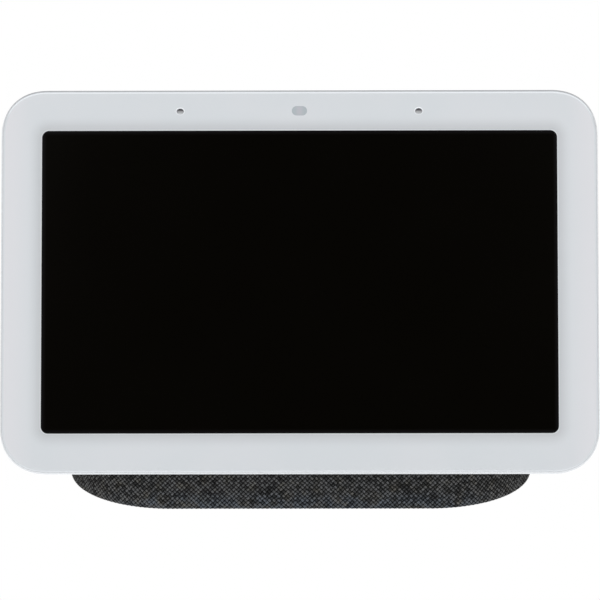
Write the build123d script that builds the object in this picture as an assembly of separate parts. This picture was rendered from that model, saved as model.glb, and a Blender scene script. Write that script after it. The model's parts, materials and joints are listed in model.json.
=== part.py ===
from build123d import *
import os
from math import cos, radians, sin, sqrt

# Table-top smart display: a slim tilted screen head on a fabric-covered speaker base.
# Row frame: +Z up, the screen faces -Y, +X is to the right of someone looking at the screen.
# The origin is on the table, under the middle of the object's outer box. All sizes are millimetres.

# ---------------------------------------------------------------- overall size
OVERALL_DEPTH = 69.5
OVERALL_HEIGHT = 120.4
SCREEN_TILT = 25.0  # degrees the screen leans back from upright

# ---------------------------------------------------------------- screen head
HEAD_WIDTH = 177.4
HEAD_HEIGHT = 114.2
HEAD_CORNER = 12.5
HEAD_THICKNESS = 10.0
EDGE_BAND = 4.0  # flat side wall before the back edge starts to curve in
EDGE_CURVE_WIDTH = 8.0
RIM_DROP = 0.3  # the housing's rim sits this far behind the glass
RIM_WIDTH = 0.45
GLASS_GAP = 0.1
GLASS_THICKNESS = 1.1
GLASS_CHAMFER = 0.25
HOUSING_WALL = 1.6
LEDGE_WIDTH = 3.0
LEDGE_DEPTH = 1.5
CAVITY_INSET = 2.0

FRONT_MIC_X = (-35.5, 35.5)
MIC_SIZE = (3.5, 2.6, 0.9)
MIC_HOLE_R = 1.05
TOP_LINE = HEAD_HEIGHT - 6.2  # height of the microphones and the light sensor on the glass
LIGHT_WINDOW = (4.5, 2.8)
SCREEN_WINDOW = (153.2, 90.2)
WINDOW_CORNER = 2.1
PRINT = 0.1  # printed border and touch film thickness, each

LCD_SIZE = (157.0, 92.0)
FILM = 2 * PRINT  # adhesive thickness
LCD_THICKNESS = 1.2
GUIDE_THICKNESS = 1.1
TRAY_DEPTH = 1.5
TRAY_SHEET = 0.3
FRAME_DEPTH = 2.8
FRAME_GAP = 0.2  # from the housing's ledge to the display frame
LED_COUNT = 16
LED_PITCH = 9.0
LED_ROOM = 2.2  # strip left free for the LED bar under the light guide
SPREADER_SIZE = (152.0, 99.5, 0.7)
SPREADER_S = 54.75

# ---------------------------------------------------------------- boards and fixings in the head
BOARD_SIZE = (120.0, 34.0)
BOARD_FRONT = 5.5
BOARD_BACK = 6.5
BOARD_S = 75.0
CHIP_BACK = 7.3
SHIELD_SIZE = (34.0, 28.0)
SHIELD_X = -4.0
SHIELD_BACK = 7.8
SHIELD_SHEET = 0.2
PROCESSOR_X = -12.0
PROCESSOR_SIZE = 14.0
SWITCH_BOARD_FRONT = 5.4
SWITCH_BOARD_BACK = 6.0
SENSOR_BOARD_SIZE = (96.0, 5.2)
SENSOR_BOARD_FRONT = 2.6
SENSOR_BOARD_BACK = 3.4
SENSOR_BOARD_S = 107.5
FLEX_X = -44.0
FLEX_WIDTH = 8.0
FLEX_SHEET = 0.2
FRAME_SHANK_R = 1.0
FRAME_HEAD_R = 1.8
SMALL_SHANK_R = 0.8
SMALL_HEAD = (1.35, 0.45)  # radius and thickness of a small screw's head
SMALL_SCREW_LENGTH = 2.9
SCREW_PLAY = 0.1
INSERT_R = 2.0
INSERT_SPAN = (6.6, 9.8)
THROUGH = 20.0  # a cut this deep passes through any wall of the head
# each kind of boss inside the housing: its radius and the depth its front end reaches
FRAME_BOSS = (2.6, 4.3)
BOARD_BOSS = (2.2, 6.5)
SWITCH_BOSS = (1.6, 6.0)
NECK_BOSS = (3.6, 5.6)
FRAME_PILOT_END = 8.2
SMALL_PILOT_END = 8.6

# ---------------------------------------------------------------- controls on the back of the head
MUTE_HEIGHT = 103.0
MUTE_TRAVEL = 3.0
MUTE_KNOB = (6.2, 3.4)
MUTE_FLANGE = (14.0, 5.0, 0.65)
LEVER_SIZE = (1.6, 1.2)
LEVER_FRONT = 6.5
LEVER_BACK = 8.0
REAR_MIC_X = -16.0
ROCKER_X = 74.0
ROCKER_HEIGHT = 84.0
ROCKER_SIZE = (4.4, 26.0)
ROCKER_ARM = 9.5  # from the rocker's pivot to each switch
ROCKER_PIVOT_DEPTH = 7.1
PIVOT_PIN_R = 0.5
PIVOT_PIN_LENGTH = 8.8
PIVOT_EAR = (1.6, 3.0)
PIVOT_EAR_X = 3.6  # from the rocker's middle to each ear that holds the pin
RUNNING_GAP = 0.02
SLIDE_GAP = 0.2
KEY_GAP = 0.4
REAR_MIC_HOLE_R = 0.6
PLUNGER_FRONT = 6.3
PLUNGER_BACK = 7.0
PLUNGER_R = 0.75

# ---------------------------------------------------------------- base
BASE_HALF_WIDTH = 70.2
BASE_FLAT_HALF = 38.9  # straight part of the footprint's front and back edges, each side of centre
BASE_FRONT = 11.4  # from the glass's bottom edge back to the base's front wall
BASE_SHOULDER_Z = 14.0
BASE_DOME_HEIGHT = 80.0
BASE_BACK_CORE = 30.0  # the back wall's curve is centred this far behind the glass's bottom edge
BASE_WIDTH_POWER = 2.3
FOOT_GAP = 0.4  # from the table up to the fabric's lowest edge
BOTTOM_ROUND = 1.5
FABRIC_THICKNESS = 0.9
FABRIC_CLEARANCE = 0.05
SHELL_WALL = 2.05
FABRIC_TUCK = 4.5
FOOT_INSET = 7.0
BELOW_TABLE = -5.0  # where a cut that opens the base downwards starts
PLATE_BOTTOM = 0.9
PLATE_TOP = 2.9
PILLARS = [(x, y) for x in (-56.0, 56.0) for y in (-10.0, 10.0)]
PILLAR_R = 3.4
PILLAR_HEIGHT = 16.0
PILLAR_WEB = (2.4, 14.0)
BASE_SCREW_R = 1.2
BASE_SCREW_HEAD = (2.7, 1.15)
GRILLE_R = 20.5
GRILLE_SLOT = 2.4
GRILLE_PITCH = 4.4
GRILLE_SLOTS = 9

# ---------------------------------------------------------------- neck joint between base and head
NECK_CENTRE = 35.0
NECK_SCREWS = [(x, s) for x in (-34.0, 34.0) for s in (20.0, 50.0)]
NECK_SLOT = (30.0, 12.0)
BRACKET_SIZE = (84.0, 44.0, 1.5)
NECK_WALL = 2.5
NECK_SCREW_R = 1.25
NECK_SCREW_HEAD = (2.75, 1.8)
NECK_HOLE_R = 1.6

# ---------------------------------------------------------------- speaker, along +Y
SPEAKER_Z = 31.0
BAFFLE_FRONT = 55.0  # from the glass's bottom edge
BAFFLE_THICKNESS = 2.5
BOX_X = (-27.0, 50.0)
BOX_Z = (4.0, 60.0)
BOX_WALL = 1.8
BOX_GAP = 0.5
FLANGE_SIZE = 48.0
FLANGE_THICKNESS = 0.8
GASKET_THICKNESS = 0.5
SPEAKER_SCREW = 20.5
MOTOR_FRONT = 35.5
MOTOR_BACK = 46.2
MOTOR_R = 13.0
MAGNET_FRONT = 38.0
MAGNET_BACK = 44.2
COIL_FRONT = 42.0
CUP_FLOOR = 47.0
POLE_R = 6.0
COIL_INNER_R = 6.3
COIL_OUTER_R = 7.1
CONE_SMALL = 49.6
CONE_RIM = 57.4
CONE_R = 17.9
SURROUND_GAP = 0.15
BASKET_HOLE_R = 20.6

# ---------------------------------------------------------------- power jack, along +Y
JACK_X = -36.0
JACK_Z = 14.0
PLUG_R = 4.1
JACK_BEZEL_R = 5.2
BARREL_R = 2.0
JACK_PIN_R = 0.85
JACK_BODY = (9.0, 12.0, 9.0)
JACK_BACK = 62.0  # from the glass's bottom edge
JACK_BOARD_SHEET = 1.2
JACK_POSTS = [(JACK_X - 7.4, 48.5), (JACK_X + 5.0, 48.5)]
JACK_POST_R = 2.2

# ---------------------------------------------------------------- derived places
TILT = radians(SCREEN_TILT)
# The outer box touches the housing's rim, so the glass's face lies RIM_DROP in front of that corner.
FRONT_Y = -OVERALL_DEPTH / 2 - RIM_DROP * cos(TILT)
BACK_REACH = OVERALL_DEPTH / 2 - FRONT_Y
HEAD_BOTTOM_Z = OVERALL_HEIGHT - HEAD_HEIGHT * cos(TILT) + RIM_DROP * sin(TILT)
HEAD = Plane(
    origin=(0, FRONT_Y, HEAD_BOTTOM_Z),
    x_dir=(1, 0, 0),
    z_dir=(0, -cos(TILT), sin(TILT)),
)
MID = HEAD_HEIGHT / 2
INNER_BACK = HEAD_THICKNESS - HOUSING_WALL
BASE_DEPTH = BACK_REACH - BASE_FRONT
BASE_END = BASE_HALF_WIDTH - BASE_FLAT_HALF
BASE_MID_Y = FRONT_Y + BASE_FRONT + BASE_DEPTH / 2
SHELL_INSET = FABRIC_THICKNESS + FABRIC_CLEARANCE
ROOM_INSET = SHELL_INSET + SHELL_WALL
BAFFLE_BACK = BAFFLE_FRONT + BAFFLE_THICKNESS
FLANGE_BACK = BAFFLE_BACK + GASKET_THICKNESS + FLANGE_THICKNESS
LCD_FRONT = GLASS_THICKNESS + FILM
GUIDE_FRONT = LCD_FRONT + LCD_THICKNESS
FRAME_FRONT = LCD_FRONT + RUNNING_GAP
FRAME_BACK = FRAME_FRONT + FRAME_DEPTH
SPREADER_BACK = FRAME_BACK + SPREADER_SIZE[2]
FRAME_SCREWS = [(x, s) for x in (-82.4, 82.4) for s in (16.0, MID, 98.0)]
BOARD_SCREWS = [(x, s) for x in (-56.0, 56.0) for s in (61.0, 89.0)]
SWITCH_SCREWS = [
    (-20.6, MUTE_HEIGHT),
    (12.6, MUTE_HEIGHT),
    (67.9, ROCKER_HEIGHT - 10.0),
    (67.9, ROCKER_HEIGHT + 10.0),
]
MUTE_REST_X = MUTE_TRAVEL / 2
FLANGE_FRONT = INNER_BACK - SLIDE_GAP - MUTE_FLANGE[2]
NUB_FRONT = PLUNGER_BACK + 0.05
NECK_WALL_BACK = HEAD_THICKNESS + NECK_WALL
BRACKET_BACK = NECK_WALL_BACK + BRACKET_SIZE[2]
JACK_BOARD_Z = JACK_Z - JACK_BODY[2] / 2


# ---------------------------------------------------------------- helpers for the head
# In the head's own frame x is right, s is up along the glass from its bottom edge, and depth is how far
# behind the glass's front face a point lies.
def at_head(x, s, depth):
    return Pos(x, s, -depth)


def slab(width, height, front, back, x=0.0, s=MID, corner=0.0):
    """A plate between two depths, with rounded corners if asked for."""
    outline = Rectangle(width, height) if corner <= 0 else RectangleRounded(width, height, corner)
    return at_head(x, s, back) * extrude(outline, back - front)


def inset_slab(inset, front, back):
    """A plate with the head's own outline, moved in by inset."""
    return slab(
        HEAD_WIDTH - 2 * inset,
        HEAD_HEIGHT - 2 * inset,
        front,
        back,
        corner=max(HEAD_CORNER - inset, 0.5),
    )


def post(x, s, radius, front, back):
    """A round post along the head's depth."""
    return at_head(x, s, back) * extrude(Circle(radius), back - front)


def ring_post(x, s, outer, inner, front, back):
    """A round tube along the head's depth."""
    return at_head(x, s, back) * extrude(Circle(outer) - Circle(inner), back - front)


def pill(x, s, length, height, front, back):
    """A plate with round ends, longest along x."""
    return at_head(x, s, back) * extrude(SlotOverall(length, height), back - front)


def upright_pill(x, s, width, height, front, back):
    outline = Rot(0, 0, 90) * SlotOverall(height, width)
    return at_head(x, s, back) * extrude(outline, back - front)


def head_screw(x, s, head_r, head_front, head_back, shank_r, tip):
    """A screw driven from the glass side: its head first, then its shank."""
    return post(x, s, head_r, head_front, head_back) + post(x, s, shank_r, head_back, tip)


def in_row_frame(shape):
    return HEAD.location * shape


# ---------------------------------------------------------------- helpers for the base
def back_of(y):
    """Row Y of a place given as its distance behind the glass's bottom edge."""
    return FRONT_Y + y


def box_between(x0, x1, y0, y1, z0, z1):
    return Pos((x0 + x1) / 2, (y0 + y1) / 2, (z0 + z1) / 2) * Box(x1 - x0, y1 - y0, z1 - z0)


def stadium(flat, end, half_depth, mid_y, z):
    """A level outline: straight front and back edges joined by half ellipses."""
    centre_left = Location((-flat, mid_y, z))
    edges = [
        Edge.make_line((-flat, mid_y - half_depth, z), (flat, mid_y - half_depth, z)),
        Edge.make_ellipse(end, half_depth, Plane((flat, mid_y, z)), -90, 90),
        Edge.make_line((flat, mid_y + half_depth, z), (-flat, mid_y + half_depth, z)),
        Edge.make_ellipse(end, half_depth, Plane(centre_left), 90, 270),
    ]
    return Face(Wire(edges))


def footprint(inset, z):
    return stadium(BASE_FLAT_HALF, BASE_END - inset, BASE_DEPTH / 2 - inset, BASE_MID_Y, z)


def dome_section(inset, rise):
    """The base's level outline at a height above its shoulder, moved in by inset."""
    share = rise / (BASE_DOME_HEIGHT - inset)
    back = BASE_BACK_CORE + (BACK_REACH - BASE_BACK_CORE - inset) * sqrt(1 - share**2)
    front = BASE_FRONT + inset
    width = (1 - share**BASE_WIDTH_POWER) ** (1 / BASE_WIDTH_POWER)
    flat = BASE_FLAT_HALF * width
    end = (BASE_END - inset) * width
    return stadium(flat, end, (back - front) / 2, back_of((back + front) / 2), BASE_SHOULDER_Z + rise)


def behind_head(depth):
    """Everything further behind the glass than depth."""
    reach = 200.0
    return in_row_frame(Pos(0, MID, -depth - reach / 2) * Box(2 * reach, 2 * reach, reach))


def base_body(inset, bottom, front_depth, round_edge):
    """The base's outer form moved in by inset, cut off by a plane parallel to the head."""
    wall = extrude(footprint(inset, bottom), BASE_SHOULDER_Z - bottom)
    if round_edge > 0:
        wall = fillet(wall.faces().sort_by(Axis.Z)[0].edges(), round_edge)
    rises = [BASE_DOME_HEIGHT * sin(radians(angle)) for angle in (0, 12, 24, 35, 46, 56, 66, 78)]
    dome = loft([dome_section(inset, rise * (1 - inset / BASE_DOME_HEIGHT)) for rise in rises])
    return (wall + dome) & behind_head(front_depth)


def y_tube(x, z, outer, inner, y0, y1):
    """A round tube, or a solid rod where inner is 0, along +Y between two distances behind the glass."""
    plane = Plane(origin=(x, back_of(y0), z), x_dir=(1, 0, 0), z_dir=(0, 1, 0))
    ring = Circle(outer) if inner <= 0 else Circle(outer) - Circle(inner)
    return extrude(plane * ring, y1 - y0)


def turned(outline):
    """A solid of revolution about the speaker's axis, from (distance behind the glass, radius) points."""
    points = [(radius, 0, y) for y, radius in outline]
    face = Face(Wire.make_polygon([Vector(*p) for p in points], close=True))
    ring = revolve(face, Axis.Z)
    plane = Plane(origin=(0, FRONT_Y, SPEAKER_Z), x_dir=(1, 0, 0), z_dir=(0, 1, 0))
    return plane.location * ring


# ---------------------------------------------------------------- head: housing and glass
def head_form(inset, front, thickness, band):
    """The head's outer form: a flat side band, then an elliptical curve in to the back."""
    curve_width = EDGE_CURVE_WIDTH - inset * 0.5
    curve_depth = thickness - band
    body = inset_slab(inset, front, band)
    sections = []
    for angle in (0, 18, 36, 54, 72, 90):
        move = inset + curve_width * (1 - cos(radians(angle)))
        depth = band + curve_depth * sin(radians(angle))
        outline = RectangleRounded(
            HEAD_WIDTH - 2 * move,
            HEAD_HEIGHT - 2 * move,
            max(HEAD_CORNER - move, 1.2),
        )
        sections.append(at_head(0, MID, depth) * outline)
    return body + loft(sections)


def rear_housing():
    outer = head_form(0.0, RIM_DROP, HEAD_THICKNESS, EDGE_BAND)
    room = head_form(CAVITY_INSET, LEDGE_DEPTH + GLASS_THICKNESS, INNER_BACK, EDGE_BAND)
    glass_seat = inset_slab(RIM_WIDTH, 0, GLASS_THICKNESS + FILM)
    ledge = inset_slab(LEDGE_WIDTH, GLASS_THICKNESS, LEDGE_DEPTH + GLASS_THICKNESS)
    shell = outer - room - glass_seat - ledge
    for boss in housing_bosses():
        shell += boss & outer
    for x, s in FRAME_SCREWS:
        shell -= post(x, s, FRAME_SHANK_R, 0, FRAME_PILOT_END)
    for x, s in BOARD_SCREWS + SWITCH_SCREWS:
        shell -= post(x, s, SMALL_SHANK_R, 0, SMALL_PILOT_END)
    for x, s in NECK_SCREWS:
        shell -= post(x, s, INSERT_R, INSERT_SPAN[0] - SLIDE_GAP, HEAD_THICKNESS)
    slot_length = MUTE_KNOB[0] + MUTE_TRAVEL + SLIDE_GAP
    slot_height = MUTE_KNOB[1] + SLIDE_GAP
    shell -= slab(slot_length, slot_height, INNER_BACK, HEAD_THICKNESS, s=MUTE_HEIGHT, corner=1.2)
    key_width, key_height = ROCKER_SIZE[0] + KEY_GAP, ROCKER_SIZE[1] + KEY_GAP
    shell -= upright_pill(ROCKER_X, ROCKER_HEIGHT, key_width, key_height, INNER_BACK, HEAD_THICKNESS)
    shell -= pivot_pin_rod(PIVOT_PIN_R)
    shell -= post(REAR_MIC_X, MUTE_HEIGHT, REAR_MIC_HOLE_R, INNER_BACK, HEAD_THICKNESS)
    return shell - pill(0, NECK_CENTRE, *NECK_SLOT, INNER_BACK, HEAD_THICKNESS)


def housing_bosses():
    """The posts that screws bite into, and the two ears that hold the rocker's pin."""
    bosses = []
    for places, (radius, front) in (
        (FRAME_SCREWS, FRAME_BOSS),
        (BOARD_SCREWS, BOARD_BOSS),
        (SWITCH_SCREWS, SWITCH_BOSS),
        (NECK_SCREWS, NECK_BOSS),
    ):
        bosses += [post(x, s, radius, front, HEAD_THICKNESS) for x, s in places]
    ear_front = ROCKER_PIVOT_DEPTH - 0.7
    for x in (ROCKER_X - PIVOT_EAR_X, ROCKER_X + PIVOT_EAR_X):
        bosses.append(slab(*PIVOT_EAR, ear_front, HEAD_THICKNESS, x=x, s=ROCKER_HEIGHT))
    return bosses


def cover_glass():
    inset = RIM_WIDTH + GLASS_GAP
    glass = inset_slab(inset, 0, GLASS_THICKNESS)
    glass = chamfer(glass.faces().sort_by(Axis.Z)[-1].outer_wire().edges(), GLASS_CHAMFER)
    for x in FRONT_MIC_X:
        glass -= post(x, TOP_LINE, MIC_HOLE_R, 0, GLASS_THICKNESS)
    return glass


def glass_adhesive():
    """The ring of tape that bonds the glass to the housing's ledge."""
    front, back = GLASS_THICKNESS, GLASS_THICKNESS + FILM
    return inset_slab(0.8, front, back) - inset_slab(LEDGE_WIDTH - 0.1, front, back)


def border_print():
    """The light border behind the glass, open at the screen, the microphones and the light sensor."""
    front, back = GLASS_THICKNESS, GLASS_THICKNESS + PRINT
    ring = inset_slab(LEDGE_WIDTH, front, back) - slab(*SCREEN_WINDOW, front, back, corner=WINDOW_CORNER)
    for x in FRONT_MIC_X:
        ring -= post(x, TOP_LINE, MIC_HOLE_R, front, back)
    return ring - pill(0, TOP_LINE, *LIGHT_WINDOW, front, back)


# ---------------------------------------------------------------- head: display stack
def touch_film():
    """The clear touch sensor: it fills the printed border's opening and laps onto the border."""
    film = slab(*LCD_SIZE, GLASS_THICKNESS + PRINT, LCD_FRONT, corner=1.5)
    return film + slab(*SCREEN_WINDOW, GLASS_THICKNESS, LCD_FRONT, corner=WINDOW_CORNER)


def lcd_panel():
    return slab(*LCD_SIZE, LCD_FRONT, GUIDE_FRONT)


def backlight_guide():
    """The light guide with its diffuser films, stopping short of the LED bar at the bottom."""
    width, height = LCD_SIZE[0] - 0.8, LCD_SIZE[1] - 0.8 - LED_ROOM
    back = GUIDE_FRONT + GUIDE_THICKNESS
    return slab(width, height, GUIDE_FRONT, back, s=MID + LED_ROOM / 2)


def backlight_leds():
    """A narrow board along the tray's bottom edge, with a row of LEDs facing up into the guide."""
    bottom = MID - LCD_SIZE[1] / 2 + 0.4
    bar = slab(150, 0.6, GUIDE_FRONT + 0.05, GUIDE_FRONT + 1.05, s=bottom + 0.4)
    for i in range(LED_COUNT):
        x = (i - (LED_COUNT - 1) / 2) * LED_PITCH
        bar += slab(3.0, 1.0, GUIDE_FRONT + 0.15, GUIDE_FRONT + 0.95, x=x, s=bottom + 1.2)
    return bar


def backlight_tray():
    """The folded steel tray round the light guide."""
    width, height = LCD_SIZE
    back = GUIDE_FRONT + TRAY_DEPTH
    outer = slab(width, height, GUIDE_FRONT, back)
    return outer - slab(width - 2 * TRAY_SHEET, height - 2 * TRAY_SHEET, GUIDE_FRONT, back - TRAY_SHEET)


def display_frame():
    """The moulded ring that holds the LCD stack behind the glass, with a pocket for the sensor board."""
    ring = inset_slab(LEDGE_WIDTH + FRAME_GAP, FRAME_FRONT, FRAME_BACK)
    ring -= slab(LCD_SIZE[0] + 2 * FRAME_GAP, LCD_SIZE[1] + 2 * FRAME_GAP, 0, THROUGH)
    ring -= slab(SENSOR_BOARD_SIZE[0] + 4.0, SENSOR_BOARD_SIZE[1] + 0.8, 0, THROUGH, s=SENSOR_BOARD_S)
    for x, s in FRAME_SCREWS:
        ring -= post(x, s, FRAME_HEAD_R + FRAME_GAP, 0, FRAME_FRONT + 1.3)
        ring -= post(x, s, FRAME_SHANK_R + SCREW_PLAY, 0, THROUGH)
    return ring


def frame_screws():
    head_front = FRAME_FRONT + 0.3
    head_back = FRAME_FRONT + 1.3
    tip = FRAME_PILOT_END - FRAME_GAP
    ends = (FRAME_HEAD_R, head_front, head_back, FRAME_SHANK_R, tip)
    return [head_screw(x, s, *ends) for x, s in FRAME_SCREWS]


def heat_spreader():
    """The aluminium plate behind the backlight: it stiffens the head and spreads the main board's heat."""
    plate = slab(*SPREADER_SIZE[:2], FRAME_BACK, SPREADER_BACK, s=SPREADER_S, corner=4)
    for x in (-40.0, 0.0, 40.0):
        plate -= pill(x, 14.0, 16, 5, 0, THROUGH)
    return plate


# ---------------------------------------------------------------- head: sensors along the top edge
def sensor_board():
    """A narrow circuit board with the light sensor soldered to its front."""
    board = slab(*SENSOR_BOARD_SIZE, SENSOR_BOARD_FRONT, SENSOR_BOARD_BACK, s=SENSOR_BOARD_S, corner=0.8)
    for x in FRONT_MIC_X:
        board -= post(x, TOP_LINE, 0.4, 0, THROUGH)
    return board + slab(2.0, 2.0, 2.0, SENSOR_BOARD_FRONT, s=TOP_LINE)


def microphones():
    """Two behind the glass, and one on the mute switch's board that listens through the back."""
    width, height, depth = MIC_SIZE
    back = SENSOR_BOARD_BACK
    pair = [slab(width, height, back, back + depth, x=x, s=TOP_LINE - 0.6) for x in FRONT_MIC_X]
    front = SWITCH_BOARD_BACK
    return pair + [slab(width, height, front, front + depth, x=REAR_MIC_X, s=MUTE_HEIGHT)]


def microphone_gaskets():
    front, back = GLASS_THICKNESS + PRINT, SENSOR_BOARD_FRONT
    rings = [ring_post(x, TOP_LINE, 1.8, 1.1, front, back) for x in FRONT_MIC_X]
    rear_front = SWITCH_BOARD_BACK + MIC_SIZE[2]
    return rings + [ring_post(REAR_MIC_X, MUTE_HEIGHT, 1.6, 0.7, rear_front, INNER_BACK)]


def light_pipe():
    """The clear pill behind the border's small window, which leads light to the sensor."""
    return pill(0, TOP_LINE, *LIGHT_WINDOW, GLASS_THICKNESS, 1.9)


def radar_module():
    return slab(6.5, 5.0, 1.8, SENSOR_BOARD_FRONT, x=20.0, s=SENSOR_BOARD_S)


def sensor_flex():
    """The flat cable from the sensor board back and down to the main board."""
    back = SENSOR_BOARD_BACK + 1.8
    down = slab(FLEX_WIDTH, FLEX_SHEET, SENSOR_BOARD_BACK, back, x=FLEX_X, s=104.9)
    return down + slab(FLEX_WIDTH, 12.2, back - FLEX_SHEET, back, x=FLEX_X, s=98.9)


# ---------------------------------------------------------------- head: electronics
def main_board():
    board = slab(*BOARD_SIZE, BOARD_FRONT, BOARD_BACK, s=BOARD_S, corner=2)
    for x, s in BOARD_SCREWS:
        board -= post(x, s, SMALL_SHANK_R + SCREW_PLAY, 0, THROUGH)
    return board


def board_screws():
    """Every small screw that holds a circuit board: main, mute, volume and jack board."""
    radius, thick = SMALL_HEAD
    long = SMALL_SCREW_LENGTH
    placed = []
    for places, seat in ((BOARD_SCREWS, BOARD_FRONT), (SWITCH_SCREWS, SWITCH_BOARD_FRONT)):
        for x, s in places:
            screw = head_screw(x, s, radius, seat - thick, seat, SMALL_SHANK_R, seat + long)
            placed.append(in_row_frame(screw))
    for x, y in JACK_POSTS:
        shank = Pos(x, back_of(y), JACK_BOARD_Z - long) * extrude(Circle(SMALL_SHANK_R), long)
        placed.append(shank + Pos(x, back_of(y), JACK_BOARD_Z) * extrude(Circle(radius), thick))
    return placed


def board_chips():
    """The processor, two memory chips and the radio's own can."""
    memory = [slab(10, 7.5, BOARD_BACK, CHIP_BACK, x=3, s=s) for s in (70.0, 80.0)]
    radio = slab(16, 14, BOARD_BACK, 8.0, x=36, s=80, corner=0.6)
    processor = slab(PROCESSOR_SIZE, PROCESSOR_SIZE, BOARD_BACK, CHIP_BACK, x=PROCESSOR_X, s=BOARD_S)
    return [processor, radio] + memory


def thermal_pad():
    side = PROCESSOR_SIZE - 1.0
    return slab(side, side, CHIP_BACK, SHIELD_BACK - SHIELD_SHEET, x=PROCESSOR_X, s=BOARD_S)


def board_shield():
    """A pressed can over the processor and memory."""
    width, height = SHIELD_SIZE
    can = slab(width, height, BOARD_BACK, SHIELD_BACK, x=SHIELD_X, s=BOARD_S, corner=1)
    inner_width, inner_height = width - 2 * SHIELD_SHEET, height - 2 * SHIELD_SHEET
    inner_back = SHIELD_BACK - SHIELD_SHEET
    return can - slab(inner_width, inner_height, 0, inner_back, x=SHIELD_X, s=BOARD_S, corner=0.8)


def board_connectors():
    """The plugs for the sensor flex, the display and the cable from the base."""
    return [
        slab(9.0, 4.0, BOARD_BACK, 7.6, x=-44, s=88),
        slab(14.0, 4.0, BOARD_BACK, 7.6, x=-34, s=61),
        slab(12.0, 4.5, BOARD_BACK, 7.9, x=26, s=61),
    ]


def radio_antennas():
    """A foil antenna stuck inside the housing on each side."""
    front, back = INNER_BACK - 0.3, INNER_BACK - 0.05
    return [slab(30, 7, front, back, x=side * 44, s=98, corner=1) for side in (-1, 1)]


# ---------------------------------------------------------------- head: microphone mute slider
def switch_boards():
    """The small circuit boards under the mute slider and under the volume rocker."""
    front, back = SWITCH_BOARD_FRONT, SWITCH_BOARD_BACK
    mute = slab(38.6, 5.6, front, back, x=-4.0, s=MUTE_HEIGHT, corner=0.8)
    volume = slab(11, 28, front, back, x=71.5, s=ROCKER_HEIGHT, corner=1)
    for x, s in SWITCH_SCREWS:
        mute -= post(x, s, SMALL_SHANK_R + SCREW_PLAY, 0, THROUGH)
        volume -= post(x, s, SMALL_SHANK_R + SCREW_PLAY, 0, THROUGH)
    return [mute, volume]


def mute_switch_lever():
    return slab(*LEVER_SIZE, LEVER_FRONT, LEVER_BACK, x=MUTE_REST_X, s=MUTE_HEIGHT)


def mute_slider():
    """The knob in the back's slot, with a hidden flange that covers the slot and holds the switch lever."""
    place = {"x": MUTE_REST_X, "s": MUTE_HEIGHT}
    flange_back = FLANGE_FRONT + MUTE_FLANGE[2]
    slider = slab(*MUTE_FLANGE[:2], FLANGE_FRONT, flange_back, corner=1, **place)
    slider += slab(*MUTE_KNOB, FLANGE_FRONT, HEAD_THICKNESS + 0.35, corner=1.1, **place)
    rib_height = MUTE_KNOB[1] - 1.0
    for x in (MUTE_REST_X - 1.2, MUTE_REST_X, MUTE_REST_X + 1.2):
        slider += slab(0.5, rib_height, HEAD_THICKNESS, HEAD_THICKNESS + 0.55, x=x, s=MUTE_HEIGHT)
    slider -= slab(LEVER_SIZE[0] + 0.04, LEVER_SIZE[1] + 0.04, 0, LEVER_BACK + 0.1, **place)
    return slider - mute_mark()


def mute_mark():
    """The coloured patch in the flange that the slot uncovers once the microphones are off."""
    x = MUTE_REST_X + MUTE_KNOB[0] / 2 + 1.8
    back = FLANGE_FRONT + MUTE_FLANGE[2]
    return slab(3.2, MUTE_FLANGE[1] - 1.0, back - 0.2, back, x=x, s=MUTE_HEIGHT)


# ---------------------------------------------------------------- head: volume rocker
def pivot_pin_rod(radius):
    """A rod along x across the middle of the rocker."""
    start = (ROCKER_X - PIVOT_PIN_LENGTH / 2, ROCKER_HEIGHT, -ROCKER_PIVOT_DEPTH)
    plane = Plane(origin=start, x_dir=(0, 1, 0), z_dir=(1, 0, 0))
    return extrude(plane * Circle(radius), PIVOT_PIN_LENGTH)


def rocker_pin():
    return pivot_pin_rod(PIVOT_PIN_R)


def volume_rocker():
    """One key for louder and quieter, rocking on a pin across its middle."""
    cap = upright_pill(ROCKER_X, ROCKER_HEIGHT, *ROCKER_SIZE, 7.4, HEAD_THICKNESS + 0.45)
    cap = fillet(cap.faces().sort_by(Axis.Z)[0].edges(), 0.35)
    flange = upright_pill(ROCKER_X, ROCKER_HEIGHT, 5.2, 28.0, 7.4, 7.9)
    hub = slab(4.6, 2.6, 6.3, 7.9, x=ROCKER_X, s=ROCKER_HEIGHT)
    rocker = cap + flange + hub
    for side in (-1, 1):
        rocker += post(ROCKER_X, ROCKER_HEIGHT + side * ROCKER_ARM, 0.6, NUB_FRONT, 7.4)
    return rocker - pivot_pin_rod(PIVOT_PIN_R + RUNNING_GAP)


def switch_bodies():
    """The mute switch's case, and the cases of the two push switches under the rocker."""
    case = slab(8.4, 3.4, SWITCH_BOARD_BACK, 7.2, s=MUTE_HEIGHT)
    cases = [case - slab(MUTE_TRAVEL + 2.2, 1.6, 6.4, 10, s=MUTE_HEIGHT)]
    for side in (-1, 1):
        s = ROCKER_HEIGHT + side * ROCKER_ARM
        case = slab(3.6, 3.6, SWITCH_BOARD_BACK, 6.7, x=ROCKER_X, s=s)
        cases.append(case - post(ROCKER_X, s, PLUNGER_R + 0.05, 0, THROUGH))
    return cases


def volume_plunger(side):
    return post(ROCKER_X, ROCKER_HEIGHT + side * ROCKER_ARM, PLUNGER_R, PLUNGER_FRONT, PLUNGER_BACK)


def volume_up_plunger():
    return volume_plunger(1)


def volume_down_plunger():
    return volume_plunger(-1)


# ---------------------------------------------------------------- neck
def neck_inserts():
    return [ring_post(x, s, INSERT_R, NECK_SCREW_R, *INSERT_SPAN) for x, s in NECK_SCREWS]


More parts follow.
